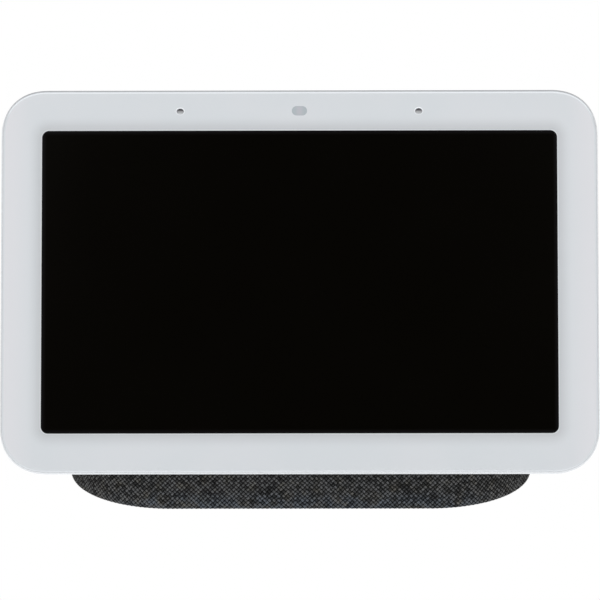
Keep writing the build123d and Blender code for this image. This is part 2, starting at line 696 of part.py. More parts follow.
def neck_bracket():
    """The pressed steel plate inside the base that the head's screws pull against."""
    plate = slab(*BRACKET_SIZE[:2], NECK_WALL_BACK, BRACKET_BACK, s=NECK_CENTRE, corner=4)
    plate -= pill(0, NECK_CENTRE, *NECK_SLOT, 0, THROUGH)
    for x, s in NECK_SCREWS:
        plate -= post(x, s, NECK_HOLE_R, 0, THROUGH)
    return plate


def neck_screws():
    """The four screws driven from inside the base, through the bracket and the wall, into the head."""
    radius, thick = NECK_SCREW_HEAD
    tip = INSERT_SPAN[0] + SLIDE_GAP
    return [
        post(x, s, radius, BRACKET_BACK, BRACKET_BACK + thick) + post(x, s, NECK_SCREW_R, tip, BRACKET_BACK)
        for x, s in NECK_SCREWS
    ]


# ---------------------------------------------------------------- base: cover, shell, bottom
def fabric_cover():
    """The woven sock over the base, tucked in under its bottom edge."""
    cover = base_body(0, FOOT_GAP, HEAD_THICKNESS + FABRIC_CLEARANCE, BOTTOM_ROUND)
    inner_bottom = FOOT_GAP + FABRIC_THICKNESS
    cover -= base_body(FABRIC_THICKNESS, inner_bottom, 0, BOTTOM_ROUND - FABRIC_THICKNESS)
    cover -= extrude(footprint(FABRIC_TUCK, 0), 4)
    return cover - y_tube(JACK_X, JACK_Z, JACK_BEZEL_R + 0.1, 0, 60, 75)


def base_shell():
    """The moulded core under the fabric, with screw pillars, a neck wall and a grille behind the speaker."""
    bottom = FOOT_GAP + SHELL_INSET
    shell = base_body(SHELL_INSET, bottom, HEAD_THICKNESS, BOTTOM_ROUND - SHELL_INSET)
    shell -= base_body(ROOM_INSET, BELOW_TABLE, NECK_WALL_BACK, 0)
    keep = base_body(SHELL_INSET + 0.5, BELOW_TABLE, HEAD_THICKNESS + 0.5, 0)
    for x, y in PILLARS:
        shell += screw_pillar(x, y) & keep
    for x, y in PILLARS:
        shell -= Pos(x, BASE_MID_Y + y, 0) * extrude(Circle(BASE_SCREW_R), 14)
    for slot in grille_slots():
        shell -= slot
    shell -= in_row_frame(pill(0, NECK_CENTRE, *NECK_SLOT, 5, THROUGH))
    for x, s in NECK_SCREWS:
        shell -= in_row_frame(post(x, s, NECK_HOLE_R, 5, THROUGH))
    return shell - y_tube(JACK_X, JACK_Z, JACK_BEZEL_R + 0.1, 0, 60, 75)


def screw_pillar(x, y):
    """A round pillar for a bottom screw, with a web that joins it to the nearer wall."""
    bottom = PLATE_TOP + 0.05
    thickness, length = PILLAR_WEB
    far = y + length if y > 0 else y - length
    y0, y1 = sorted((BASE_MID_Y + y, BASE_MID_Y + far))
    web = box_between(x - thickness / 2, x + thickness / 2, y0, y1, bottom, bottom + PILLAR_HEIGHT)
    return Pos(x, BASE_MID_Y + y, bottom) * extrude(Circle(PILLAR_R), PILLAR_HEIGHT) + web


def grille_slots():
    """Upright slots that fill a circle behind the speaker."""
    slots = []
    for i in range(GRILLE_SLOTS):
        x = (i - (GRILLE_SLOTS - 1) / 2) * GRILLE_PITCH
        half = sqrt(GRILLE_R**2 - x**2)
        x0, x1 = x - GRILLE_SLOT / 2, x + GRILLE_SLOT / 2
        slots.append(box_between(x0, x1, back_of(60), back_of(75), SPEAKER_Z - half, SPEAKER_Z + half))
    return slots


def base_plate():
    """The bottom cover: its step traps the fabric, and posts on it carry the jack board."""
    plate = extrude(footprint(FABRIC_TUCK + 0.15, PLATE_BOTTOM), PLATE_TOP - PLATE_BOTTOM)
    step_z = FOOT_GAP + SHELL_INSET + 0.15
    plate += extrude(footprint(ROOM_INSET + 0.2, step_z), PLATE_TOP - step_z)
    plate = plate & behind_head(NECK_WALL_BACK + 0.2)
    for x, y in PILLARS:
        place = Pos(x, BASE_MID_Y + y, 0)
        plate -= place * extrude(Circle(BASE_SCREW_R + 0.3), THROUGH)
        plate -= place * extrude(Circle(BASE_SCREW_HEAD[0] + 0.2), PLATE_BOTTOM + BASE_SCREW_HEAD[1] + 0.05)
    post_bottom = PLATE_TOP - 0.5
    post_height = JACK_BOARD_Z - JACK_BOARD_SHEET - post_bottom
    for x, y in JACK_POSTS:
        plate += Pos(x, back_of(y), post_bottom) * extrude(Circle(JACK_POST_R), post_height)
        plate -= Pos(x, back_of(y), PLATE_TOP) * extrude(Circle(SMALL_SHANK_R), THROUGH)
    return plate


def base_screws():
    radius, thick = BASE_SCREW_HEAD
    screw = extrude(Circle(radius), thick) + extrude(Circle(BASE_SCREW_R), 12)
    return [Pos(x, BASE_MID_Y + y, PLATE_BOTTOM + 0.05) * screw for x, y in PILLARS]


def rubber_foot():
    """The soft pad that the object stands on."""
    foot = extrude(footprint(FOOT_INSET, 0), PLATE_BOTTOM)
    return fillet(foot.faces().sort_by(Axis.Z)[0].edges(), 0.4)


# ---------------------------------------------------------------- base: power jack
def jack_bezel():
    """The ring round the plug's hole in the fabric."""
    ring = y_tube(JACK_X, JACK_Z, JACK_BEZEL_R, PLUG_R, 62.2, BACK_REACH - 0.05)
    return ring + y_tube(JACK_X, JACK_Z, JACK_BEZEL_R + 1.2, PLUG_R, 62.2, 64.6)


def power_jack():
    """The socket's moulded body, with the round barrel that the plug enters."""
    width, length, height = JACK_BODY
    x0, x1 = JACK_X - width / 2, JACK_X + width / 2
    y0, y1 = back_of(JACK_BACK - length), back_of(JACK_BACK)
    body = box_between(x0, x1, y0, y1, JACK_BOARD_Z, JACK_BOARD_Z + height)
    return body - y_tube(JACK_X, JACK_Z, BARREL_R, 0, JACK_BACK - 9, JACK_BACK + 1)


def power_jack_pin():
    return y_tube(JACK_X, JACK_Z, JACK_PIN_R, 0, JACK_BACK - 9, JACK_BACK - 0.5)


def jack_board():
    bottom = JACK_BOARD_Z - JACK_BOARD_SHEET
    board = box_between(JACK_X - 9.6, JACK_X + 8.0, back_of(46.2), back_of(JACK_BACK), bottom, JACK_BOARD_Z)
    for x, y in JACK_POSTS:
        board -= Pos(x, back_of(y), 0) * extrude(Circle(SMALL_SHANK_R + SCREW_PLAY), THROUGH)
    return board


# ---------------------------------------------------------------- base: speaker
def speaker_space(margin):
    """The sealed room behind the speaker, moved in by margin."""
    room = base_body(ROOM_INSET + BOX_GAP + margin, BELOW_TABLE, BRACKET_BACK + 2.2 + margin, 0)
    x0, x1 = BOX_X[0] + margin, BOX_X[1] - margin
    z0, z1 = BOX_Z[0] + margin, BOX_Z[1] - margin
    return room & box_between(x0, x1, -OVERALL_DEPTH, back_of(BAFFLE_FRONT), z0, z1)


def speaker_box():
    open_side = speaker_space(BOX_WALL)
    return speaker_space(0) - open_side - speaker_wire(0.8)


def speaker_baffle():
    """The board the speaker is screwed to, closing the box."""
    plate = box_between(*BOX_X, back_of(BAFFLE_FRONT), back_of(BAFFLE_BACK), *BOX_Z)
    plate = plate & base_body(ROOM_INSET + BOX_GAP, BELOW_TABLE, 0, 0)
    plate -= y_tube(0, SPEAKER_Z, BASKET_HOLE_R, 0, BAFFLE_FRONT - 1, BAFFLE_BACK + 1)
    for x, z in speaker_corners():
        plate -= y_tube(x, z, SMALL_SHANK_R, 0, BAFFLE_FRONT - 1, BAFFLE_BACK + 1)
    return plate


def speaker_corners():
    offsets = (-SPEAKER_SCREW, SPEAKER_SCREW)
    return [(x, SPEAKER_Z + z) for x in offsets for z in offsets]


def flange_plate(y0, y1, hole):
    plane = Plane(origin=(0, back_of(y0), SPEAKER_Z), x_dir=(1, 0, 0), z_dir=(0, 1, 0))
    outline = RectangleRounded(FLANGE_SIZE, FLANGE_SIZE, 8) - Circle(hole)
    plate = extrude(plane * outline, y1 - y0)
    for x, z in speaker_corners():
        plate -= y_tube(x, z, SMALL_SHANK_R + 0.2, 0, y0 - 1, y1 + 1)
    return plate


def speaker_gasket():
    return flange_plate(BAFFLE_BACK, BAFFLE_BACK + GASKET_THICKNESS, BASKET_HOLE_R)


def speaker_basket():
    """The pressed frame: a square flange, then a tapering cup down to the top plate."""
    flange = flange_plate(FLANGE_BACK - FLANGE_THICKNESS, FLANGE_BACK, 20.0)
    inside = [(FLANGE_BACK, 19.7), (54.0, 19.3), (48.4, 14.0), (CUP_FLOOR, 14.0), (CUP_FLOOR, 8.2)]
    outside = [(MOTOR_BACK, 8.2), (MOTOR_BACK, 14.8), (48.0, 14.8)]
    outside += [(53.6, 20.1), (58.0, 20.5), (FLANGE_BACK, 20.5)]
    return flange + turned(inside + outside)


def speaker_screws():
    return [
        y_tube(x, z, 1.5, 0, FLANGE_BACK, FLANGE_BACK + 0.8)
        + y_tube(x, z, SMALL_SHANK_R, 0, BAFFLE_FRONT + 0.2, FLANGE_BACK)
        for x, z in speaker_corners()
    ]


def speaker_yoke():
    """The back plate with the pole that fills the middle of the voice coil."""
    disc = [(MOTOR_FRONT, 0), (MOTOR_FRONT, MOTOR_R), (MAGNET_FRONT, MOTOR_R)]
    return turned(disc + [(MAGNET_FRONT, POLE_R), (MOTOR_BACK, POLE_R), (MOTOR_BACK, 0)])


def motor_ring(front, back, inner, outer):
    return turned([(front, inner), (front, outer), (back, outer), (back, inner)])


def speaker_magnet():
    return motor_ring(MAGNET_FRONT, MAGNET_BACK, 7.6, MOTOR_R)


def speaker_top_plate():
    return motor_ring(MAGNET_BACK, MOTOR_BACK, 7.4, MOTOR_R)


def voice_coil():
    return motor_ring(COIL_FRONT, CONE_SMALL, COIL_INNER_R, COIL_OUTER_R)


def speaker_cone():
    """The paper cone, glued to the voice coil at its small end."""
    front = [(CONE_SMALL, COIL_INNER_R), (56.6, 17.4), (CONE_RIM, 17.4)]
    back = [(CONE_RIM, CONE_R), (56.2, CONE_R), (CONE_SMALL, COIL_OUTER_R + 0.4)]
    return turned(front + back)


def dust_cap():
    """A shallow dome closing the voice coil's end."""
    rim = CONE_SMALL
    outside = [(rim + 1.2, 0), (rim + 1.0, 3.0), (rim + 0.1, COIL_INNER_R)]
    inside = [(rim - 0.4, COIL_INNER_R), (rim + 0.6, 2.9), (rim + 0.8, 0)]
    return turned(outside + inside)


def arc_points(centre, radius, start, stop, steps):
    """Points along an arc in the turned outline's own plane, as (distance, radius) pairs."""
    angles = [radians(start + (stop - start) * i / steps) for i in range(steps + 1)]
    return [(centre[0] + radius * sin(a), centre[1] - radius * cos(a)) for a in angles]


def speaker_surround():
    """The rubber roll between the basket's rim and the cone, shown at rest."""
    centre = (FLANGE_BACK, CONE_R + SURROUND_GAP + 1.15)
    outside = arc_points(centre, 1.15, 0, 160, 8)
    foot = [(outside[-1][0], 22.0), (FLANGE_BACK, 22.0)]
    inside = arc_points(centre, 0.8, 180, 0, 8)
    return turned(outside + foot + inside)


def speaker_spider():
    """The corrugated disc that centres the voice coil, shown at rest."""
    waves, inner, outer = 8, COIL_OUTER_R + 0.2, 12.6
    step = (outer - inner) / waves
    steps = [(CUP_FLOOR + 0.2 + 0.5 * (i % 2), inner + step * i) for i in range(waves + 1)]
    raised = [(y + 0.25, r) for y, r in steps]
    rim = [(CUP_FLOOR + 0.45, 13.9), (CUP_FLOOR, 13.9), (CUP_FLOOR, outer)]
    return turned(raised + rim + steps[::-1])


# ---------------------------------------------------------------- cables
def swept_wire(points, radius):
    path = Spline(*points)
    return sweep(Plane(origin=path @ 0, z_dir=path % 0) * Circle(radius), path)


def head_point(x, s, depth):
    """The row-frame place of a point given in the head's own frame."""
    y = back_of(s * sin(TILT) + depth * cos(TILT))
    return (x, y, HEAD_BOTTOM_Z + s * cos(TILT) - depth * sin(TILT))


def power_cable():
    """The sleeve of wires from the jack board up through the neck to the main board."""
    points = [
        (JACK_X + 6.0, back_of(53.0), JACK_BOARD_Z + 0.9),
        (JACK_X + 5.0, back_of(42.0), 13.5),
        head_point(-29.4, 14.0, 17.0),
        head_point(-28.4, 22.0, 15.2),
        head_point(-22.0, 30.0, 15.1),
        head_point(-13.0, 34.0, 14.4),
        head_point(-7.5, 36.0, 10.0),
        head_point(0.0, 41.0, 7.0),
        head_point(12.0, 49.0, 6.6),
        head_point(23.0, 55.5, 7.2),
        head_point(25.6, 58.2, 7.4),
    ]
    return swept_wire(points, 0.8)


def speaker_wire(radius):
    """From the jack board through the box's side wall to the basket."""
    points = [
        (JACK_X + 7.2, back_of(51.5), JACK_BOARD_Z + 0.8),
        (JACK_X + 10.0, back_of(48.6), 12.8),
        (JACK_X + 15.5, back_of(45.8), 16.5),
        (-14.6, back_of(45.6), 21.4),
        (-12.5, back_of(46.7), 21.9),
    ]
    return swept_wire(points, radius)


def base_cables():
    return [power_cable(), speaker_wire(0.5)]


HEAD_NODES = {
    "rear_housing": rear_housing,
    "cover_glass": cover_glass,
    "glass_adhesive": glass_adhesive,
    "border_print": border_print,
    "touch_film": touch_film,
    "lcd_panel": lcd_panel,
    "backlight_guide": backlight_guide,
    "backlight_leds": backlight_leds,
    "backlight_tray": backlight_tray,
    "display_frame": display_frame,
    "frame_screws": frame_screws,
    "heat_spreader": heat_spreader,
    "sensor_board": sensor_board,
    "microphones": microphones,
    "microphone_gaskets": microphone_gaskets,
    "light_pipe": light_pipe,
    "radar_module": radar_module,
    "sensor_flex": sensor_flex,
    "main_board": main_board,
    "board_chips": board_chips,
    "thermal_pad": thermal_pad,
    "board_shield": board_shield,
    "board_connectors": board_connectors,
    "radio_antennas": radio_antennas,
    "switch_boards": switch_boards,
    "switch_bodies": switch_bodies,
    "mute_switch_lever": mute_switch_lever,
    "mute_slider": mute_slider,
    "mute_mark": mute_mark,
    "rocker_pin": rocker_pin,
    "volume_rocker": volume_rocker,
    "volume_up_plunger": volume_up_plunger,
    "volume_down_plunger": volume_down_plunger,
    "neck_inserts": neck_inserts,
    "neck_bracket": neck_bracket,
    "neck_screws": neck_screws,
}
BASE_NODES = {
    "board_screws": board_screws,
    "fabric_cover": fabric_cover,
    "base_shell": base_shell,
    "base_plate": base_plate,
    "base_screws": base_screws,
    "rubber_foot": rubber_foot,
    "jack_bezel": jack_bezel,
    "power_jack": power_jack,
    "power_jack_pin": power_jack_pin,
    "jack_board": jack_board,
    "base_cables": base_cables,
    "speaker_box": speaker_box,
    "speaker_baffle": speaker_baffle,
    "speaker_gasket": speaker_gasket,
    "speaker_basket": speaker_basket,
    "speaker_screws": speaker_screws,
    "speaker_yoke": speaker_yoke,
    "speaker_magnet": speaker_magnet,
    "speaker_top_plate": speaker_top_plate,
    "voice_coil": voice_coil,
    "speaker_cone": speaker_cone,
    "dust_cap": dust_cap,
    "speaker_surround": speaker_surround,
    "speaker_spider": speaker_spider,
}


def write_node(name, made, place):
    """One STEP file for one node, in the row frame."""
    shapes = made if isinstance(made, list) else [made]
    solids = [place(solid) for shape in shapes for solid in shape.solids()]
    export_step(Compound(children=solids), f"parts/{name}.step")


def leave_in_place(shape):
    return shape


os.makedirs("parts", exist_ok=True)
for name, make in HEAD_NODES.items():
    write_node(name, make(), in_row_frame)
for name, make in BASE_NODES.items():
    write_node(name, make(), leave_in_place)
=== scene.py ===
import json
from math import cos, pi, radians, sin

import bmesh
import bpy
import numpy as np
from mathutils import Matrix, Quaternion, Vector
from mathutils.geometry import delaunay_2d_cdt


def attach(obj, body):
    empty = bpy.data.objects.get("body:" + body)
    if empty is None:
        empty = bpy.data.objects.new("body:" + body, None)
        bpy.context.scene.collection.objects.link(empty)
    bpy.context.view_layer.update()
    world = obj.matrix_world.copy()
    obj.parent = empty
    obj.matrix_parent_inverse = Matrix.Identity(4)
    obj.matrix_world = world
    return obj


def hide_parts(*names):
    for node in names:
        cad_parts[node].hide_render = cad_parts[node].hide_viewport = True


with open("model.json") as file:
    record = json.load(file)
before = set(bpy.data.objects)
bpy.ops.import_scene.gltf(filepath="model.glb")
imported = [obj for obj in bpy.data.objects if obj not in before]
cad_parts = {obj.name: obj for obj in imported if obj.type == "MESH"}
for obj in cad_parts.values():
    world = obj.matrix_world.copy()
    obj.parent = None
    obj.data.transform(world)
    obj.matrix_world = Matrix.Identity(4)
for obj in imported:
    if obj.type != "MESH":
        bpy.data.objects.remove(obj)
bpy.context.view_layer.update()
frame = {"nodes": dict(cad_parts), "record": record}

# A table-top smart display on a plain white floor. Lengths in this script are millimetres unless a name
# says otherwise; the finished meshes are in metres, in the CAD part's own frame.

MM = 0.001

# ---------------------------------------------------------------- the object's main sizes
DEPTH = 69.5
HEIGHT = 120.4
TILT = radians(25.0)
HEAD_W = 177.4
HEAD_H = 114.2
HEAD_T = 10.0
RIM_DROP = 0.3
FRONT_Y = -DEPTH / 2 - RIM_DROP * cos(TILT)
BACK_REACH = DEPTH / 2 - FRONT_Y
HEAD_Z = HEIGHT - HEAD_H * cos(TILT) + RIM_DROP * sin(TILT)
MID = HEAD_H / 2

CORNER = 14.0
CORNER_POWER = 2.25
CORNER_STEPS = 28
GLASS_INSET = 0.49
GLASS_EDGE = (0.55, 0.25)
GLASS_T = 1.1
WINDOW = (153.2, 90.2)
WINDOW_CORNER = 2.1
WINDOW_MID = MID - 0.12
MIC_X = (-35.5, 35.5)
MIC_R = (1.05, 0.88)
MIC_DROP = 0.13
MIC_BEVEL = 0.3
TOP_LINE = HEAD_H - 6.2
PILL = (4.5, 2.8)
CLOTH_DEPTHS = (0.62, 0.8)

RIM_EDGE = 0.45
RIM_ROUND = 0.42
RIM_SEAT = 1.3
BACK_START = 4.0
BACK_CURVE = (8.0, 6.0)
WALL_T = 2.0
INNER_CURVE = (7.0, 4.4)
STEP_INSET = 3.0
STEP_DEPTH = 2.6
OPENING_BEVEL = 0.18
OPENING_DEPTH = 1.6
SLOT = (9.4, 3.6, 1.2)
SLOT_S = 103.0
ROCKER = (4.8, 26.4)
ROCKER_PLACE = (74.0, 84.0)
REAR_MIC = (-16.0, 103.0, 0.6)

BASE_FRONT = 11.4
BASE_FLAT = 38.9
BASE_END = 31.3
SHOULDER_Z = 14.0
DOME_H = 80.0
BACK_CORE = 30.0
WIDTH_POWER = 2.3
FABRIC_BOTTOM = 0.4
BOTTOM_ROUND = 1.5
TUCK = 4.5
FABRIC_T = 0.9
NECK_DEPTH = 10.05
YARN = 1.0
YARN_DROP = 0.22

JACK = (-36.0, 14.0, 5.28)

# ---------------------------------------------------------------- the weave
YARN_WIDTH = 0.94
YARN_CROWN = 1.0
CELL_SPREAD = (0.3, 1.6)
YARN_SPREAD = (0.85, 1.15)
STRAND_SPREAD = (0.5, 1.5)
# painted light: the cloth is brightened up to 1.55 times towards its foot, standing in for light bounced up
# from the floor
LOW_BOUNCE_LIFT = (1.55, 0.98)
LOW_BOUNCE_HEIGHTS = (4.5, 9.5)
COOL_HEIGHTS = (6.0, 11.0)
END_PLACES = (44.0, 62.0)
FINE_STEP = 0.31
COARSE_STEP = 1.25
FINE_TOP = 22.0
RELIEF_TOP = 24.0


# ---------------------------------------------------------------- colours
def srgb(*values):
    """An 0-255 display colour as the linear RGBA that Blender works in."""
    out = []
    for v in values:
        c = v / 255
        out.append(c / 12.92 if c <= 0.04045 else ((c + 0.055) / 1.055) ** 2.4)
    return (*out, 1.0)


FABRIC_DARK = srgb(4, 4, 4)
FABRIC_LIGHT = srgb(93, 93, 93)
WARM_TINT = (1.06, 1.01, 0.9)
COOL_TINT = (0.88, 0.99, 1.14)
BORDER_INNER = srgb(214, 218.5, 222.5)
BORDER_OUTER = srgb(221, 222, 226)
# painted shade beside the screen window
BORDER_PAINTED_SHADE = srgb(191, 194, 197)
BORDER_HAIRLINE = srgb(208, 211, 214)
SCREEN_A = srgb(5.5, 4.5, 2.5)
SCREEN_B = srgb(7.5, 6.2, 4.4)
SCREEN_EDGE = srgb(20, 19, 20)
PILL_BODY = srgb(176, 185, 190)
PILL_MIDDLE = srgb(187, 188, 195)
PILL_RIM = srgb(172, 179, 186)
EDGE_FRONT = srgb(215, 219, 223)
EDGE_BACK = srgb(210, 214, 218)
# painted highlight and glow for the upward-facing glass edge
EDGE_PAINTED_HIGHLIGHT = srgb(240, 244, 248)
EDGE_PAINTED_GLOW = 0.14
HOUSING_A = srgb(220, 223, 226)
HOUSING_B = srgb(224, 227, 230)
HOUSING_SPECK = srgb(120, 123, 127)
# painted shade for the housing rim's upward- and downward-facing edge
RIM_PAINTED_SHADE = srgb(185, 187, 191)
# painted shadow and light inside the mic holes; the shade colour also darkens the cloth's fine weave
MIC_SHADE = srgb(84, 83, 86)
MIC_GREY = srgb(178, 178, 180)
MIC_PAINTED_LIGHT = srgb(230, 232, 234)
# painted highlight for the mic holes' bevelled mouths
MIC_RING_HIGHLIGHT = srgb(240, 243, 247)

# ---------------------------------------------------------------- camera and light, in metres
CAMERA_RISE = radians(19.75)
CAMERA_TURN = radians(0.45)
CAMERA_ROLL = radians(-0.24)
CAMERA_DISTANCE = 1.199
CAMERA_LENS = 242.6
CAMERA_SHIFT = (0.0007, -0.0316)
MIRROR_RISE = radians(30.25)
ROOM_LOW = (1.06, 1.06, 1.06, 1.0)
ROOM_HIGH = (0.42, 0.42, 0.42, 1.0)
ROOM_SHADE = (0.02, 0.02, 0.02, 1.0)
WHITE = (1.0, 1.0, 1.0, 1.0)
FLOOR_GLOW = 0.75
FLOOR_GAP = 0.02
FLOOR_RADIUS = 4000.0
KEY_X = 0.5
KEY_PLACE = (-0.9, 0.9)
KEY_AIM = (0.0, 0.0, 0.05)
KEY_SIZE = (0.8, 0.8)
KEY_POWER = 1.5


# ---------------------------------------------------------------- frames and meshes
def head_to_row(points):
    """Points given as (x, up along the glass, depth behind it), in the row frame."""
    p = np.asarray(points, float)
    y = FRONT_Y + p[:, 1] * sin(TILT) + p[:, 2] * cos(TILT)
    z = HEAD_Z + p[:, 1] * cos(TILT) - p[:, 2] * sin(TILT)
    return np.column_stack([p[:, 0], y, z])


def add_mesh(name, points, faces, materials, face_slots=None, local=None, sharp=35.0, curved=None):
    """A smooth-shaded mesh with its edges sharper than sharp degrees kept crisp. curved marks the faces
    that are shaded smooth, where the others are truly flat."""
    mesh = bpy.data.meshes.new(name)
    mesh.from_pydata((np.asarray(points) * MM).tolist(), [], faces)
    for material in materials:
        mesh.materials.append(material)
    if face_slots is not None:
        mesh.polygons.foreach_set("material_index", np.asarray(face_slots, np.int32))
    if local is not None:
        layer = mesh.attributes.new("local_mm", "FLOAT_VECTOR", "POINT")
        layer.data.foreach_set("vector", np.asarray(local, np.float32).ravel())
    tidy_normals(mesh)
    mesh.shade_smooth()
    mesh.set_sharp_from_angle(angle=radians(sharp))
    if curved is not None:
        mesh.polygons.foreach_set("use_smooth", curved)
    obj = bpy.data.objects.new(name, mesh)
    bpy.context.scene.collection.objects.link(obj)
    return obj


def tidy_normals(mesh):
    bm = bmesh.new()
    bm.from_mesh(mesh)
    bmesh.ops.recalc_face_normals(bm, faces=bm.faces)
    bm.to_mesh(mesh)
    bm.free()
    mesh.update()


# ---------------------------------------------------------------- flat outlines, as arrays of (x, y)
def rounded_outline(width, height, corner, power=2.0, steps=CORNER_STEPS, centre=(0.0, 0.0)):
    """A rectangle whose corners follow a superellipse, counter-clockwise."""
    angles = np.linspace(0, pi / 2, steps + 1)
    cx = corner * np.cos(angles) ** (2 / power)
    cy = corner * np.sin(angles) ** (2 / power)
    w, h = width / 2 - corner, height / 2 - corner
    quarters = [
        np.column_stack([w + cx, h + cy]),
        np.column_stack([-w - cx[::-1], h + cy[::-1]]),
        np.column_stack([-w - cx, -h - cy]),
        np.column_stack([w + cx[::-1], -h - cy[::-1]]),
    ]
    return np.vstack(quarters) + np.array(centre)


def head_outline(inset):
    corner = max(CORNER - inset, 1.5)
    return rounded_outline(HEAD_W - 2 * inset, HEAD_H - 2 * inset, corner, CORNER_POWER, centre=(0, MID))


def circle_outline(x, y, radius, steps=48):
    angles = np.linspace(0, 2 * pi, steps, endpoint=False)
    return np.column_stack([x + radius * np.cos(angles), y + radius * np.sin(angles)])


def mic_outline(x, grow):
    """A microphone hole's outline, grown outward by grow; a little wider than it is high."""
    return circle_outline(0.0, 0.0, 1.0) * (MIC_R[0] + grow, MIC_R[1] + grow) + (x, TOP_LINE - MIC_DROP)


def pill_outline(x, y, width, height, steps=16):
    """A slot with round ends on its short sides."""
    corner = min(width, height) / 2 - 0.001
    return rounded_outline(width, height, corner, steps=steps, centre=(x, y))


def inside(points, outline):
    """Whether each point lies inside a closed outline, by counting crossings."""
    x, y = points[:, 0], points[:, 1]
    result = np.zeros(len(points), bool)
    for (x0, y0), (x1, y1) in zip(outline, np.roll(outline, -1, axis=0)):
        crosses = (y0 > y) != (y1 > y)
        at = x0 + (y - y0) * (x1 - x0) / (y1 - y0 if y1 != y0 else 1e-12)
        result ^= crosses & (x < at)
    return result


class Shell:
    """Collects rings of points, the skins between them and flat plates across them."""

    def __init__(self):
        self.points = []
        self.faces = []
        self.slots = []
        self.curved = []

    def ring(self, outline, depth):
        """Adds a closed ring of points at one depth and gives their numbers."""
        start = len(self.points)
        self.points += [(x, y, depth) for x, y in outline]
        return list(range(start, start + len(outline)))

    def skin(self, ring_a, ring_b, slot=0):
        n = len(ring_a)
        for i in range(n):
            j = (i + 1) % n
            self.faces.append((ring_a[i], ring_a[j], ring_b[j], ring_b[i]))
            self.slots.append(slot)
            self.curved.append(True)

    def plate(self, outer, holes=(), marks=(), slot=0):
        """Fills a flat ring, leaving holes open. marks are (ring, slot) pairs drawn inside it."""
        rings = [outer] + list(holes) + [ring for ring, _ in marks]
        numbers = [i for ring in rings for i in ring]
        flat = np.array([self.points[i][:2] for i in numbers])
        edges = []
        start = 0
        for ring in rings:
            n = len(ring)
            edges += [(start + i, start + (i + 1) % n) for i in range(n)]
            start += n
        coords, _, tris, origin, _, _ = delaunay_2d_cdt([Vector(p) for p in flat], edges, [], 0, 1e-9)
        centres = np.array([np.mean([coords[i] for i in t], axis=0) for t in tris])
        keep = inside(centres, self.outline(outer))
        for hole in holes:
            keep &= ~inside(centres, self.outline(hole))
        slots = np.full(len(tris), slot)
        for ring, mark_slot in marks:
            slots[inside(centres, self.outline(ring))] = mark_slot
        for tri, kept, tri_slot in zip(tris, keep, slots):
            if kept:
                self.faces.append(tuple(numbers[origin[i][0]] for i in tri))
                self.slots.append(int(tri_slot))
                self.curved.append(False)

    def outline(self, ring):
        return np.array([self.points[i][:2] for i in ring])

    def build(self, name, materials, sharp=35.0):
        local = np.array(self.points, float)
        places = head_to_row(local)
        return add_mesh(name, places, self.faces, materials, self.slots, local, sharp, self.curved)


# ---------------------------------------------------------------- material helpers
def new_material(name, roughness=0.5, metallic=0.0, specular=0.5):
    material = bpy.data.materials.new(name)
    material.use_nodes = True
    tree = material.node_tree
    shader = tree.nodes["Principled BSDF"]
    shader.inputs["Roughness"].default_value = roughness
    shader.inputs["Metallic"].default_value = metallic
    shader.inputs["Specular IOR Level"].default_value = specular
    return material, tree, shader


def plug(tree, socket, value):
    if isinstance(value, bpy.types.NodeSocket):
        tree.links.new(value, socket)
    else:
        socket.default_value = value


def calc(tree, operation, *values):
    node = tree.nodes.new("ShaderNodeMath")
    node.operation = operation
    for socket, value in zip(node.inputs, values):
        plug(tree, socket, value)
    return node.outputs[0]


def smooth_range(tree, value, low, high, out_low=0.0, out_high=1.0):
    node = tree.nodes.new("ShaderNodeMapRange")
    node.interpolation_type = "SMOOTHSTEP"
    sockets = ("Value", "From Min", "From Max", "To Min", "To Max")
    for name, v in zip(sockets, (value, low, high, out_low, out_high)):
        plug(tree, node.inputs[name], v)
    return node.outputs["Result"]


def mix(tree, share, a, b, data_type="FLOAT", blend_type="MIX"):
    node = tree.nodes.new("ShaderNodeMix")
    node.data_type = data_type
    node.blend_type = blend_type
    for name, value in (("Factor", share), ("A", a), ("B", b)):
        plug(tree, node.inputs[name], value)
    return node.outputs["Result"]


def blend_value(tree, share, a, b):
    return mix(tree, share, a, b)


def blend_colour(tree, share, a, b):
    return mix(tree, share, a, b, "RGBA")


def tint(tree, colour, share, factor):
    return mix(tree, share, colour, (*factor, 1.0), "RGBA", "MULTIPLY")


def combine(tree, x, y, z):
    node = tree.nodes.new("ShaderNodeCombineXYZ")
    for socket, value in zip(node.inputs, (x, y, z)):
        plug(tree, socket, value)
    return node.outputs[0]


def noise(tree, vector, scale, detail=2.0, roughness=0.5):
    node = tree.nodes.new("ShaderNodeTexNoise")
    plug(tree, node.inputs["Vector"], vector)
    node.inputs["Scale"].default_value = scale
    node.inputs["Detail"].default_value = detail
    node.inputs["Roughness"].default_value = roughness
    return node.outputs["Fac"]


def white_noise(tree, vector):
    node = tree.nodes.new("ShaderNodeTexWhiteNoise")
    plug(tree, node.inputs["Vector"], vector)
    return node.outputs["Value"]


def set_colour(tree, shader, colour):
    tree.links.new(colour, shader.inputs["Base Color"])


def length_of(tree, a, b):
    """The length of the diagonal across a and b."""
    return calc(tree, "SQRT", calc(tree, "ADD", calc(tree, "POWER", a, 2.0), calc(tree, "POWER", b, 2.0)))


def add_bump(tree, shader, height, strength, distance_mm):
    node = tree.nodes.new("ShaderNodeBump")
    node.inputs["Strength"].default_value = strength
    node.inputs["Distance"].default_value = distance_mm * MM
    plug(tree, node.inputs["Height"], height)
    tree.links.new(node.outputs[0], shader.inputs["Normal"])


def object_place(tree):
    return tree.nodes.new("ShaderNodeTexCoord").outputs["Object"]


def height_faced(tree):
    """How far the surface faces up (1) or down (-1)."""
    split = tree.nodes.new("ShaderNodeSeparateXYZ")
    tree.links.new(tree.nodes.new("ShaderNodeNewGeometry").outputs["Normal"], split.inputs[0])
    return split.outputs["Z"]


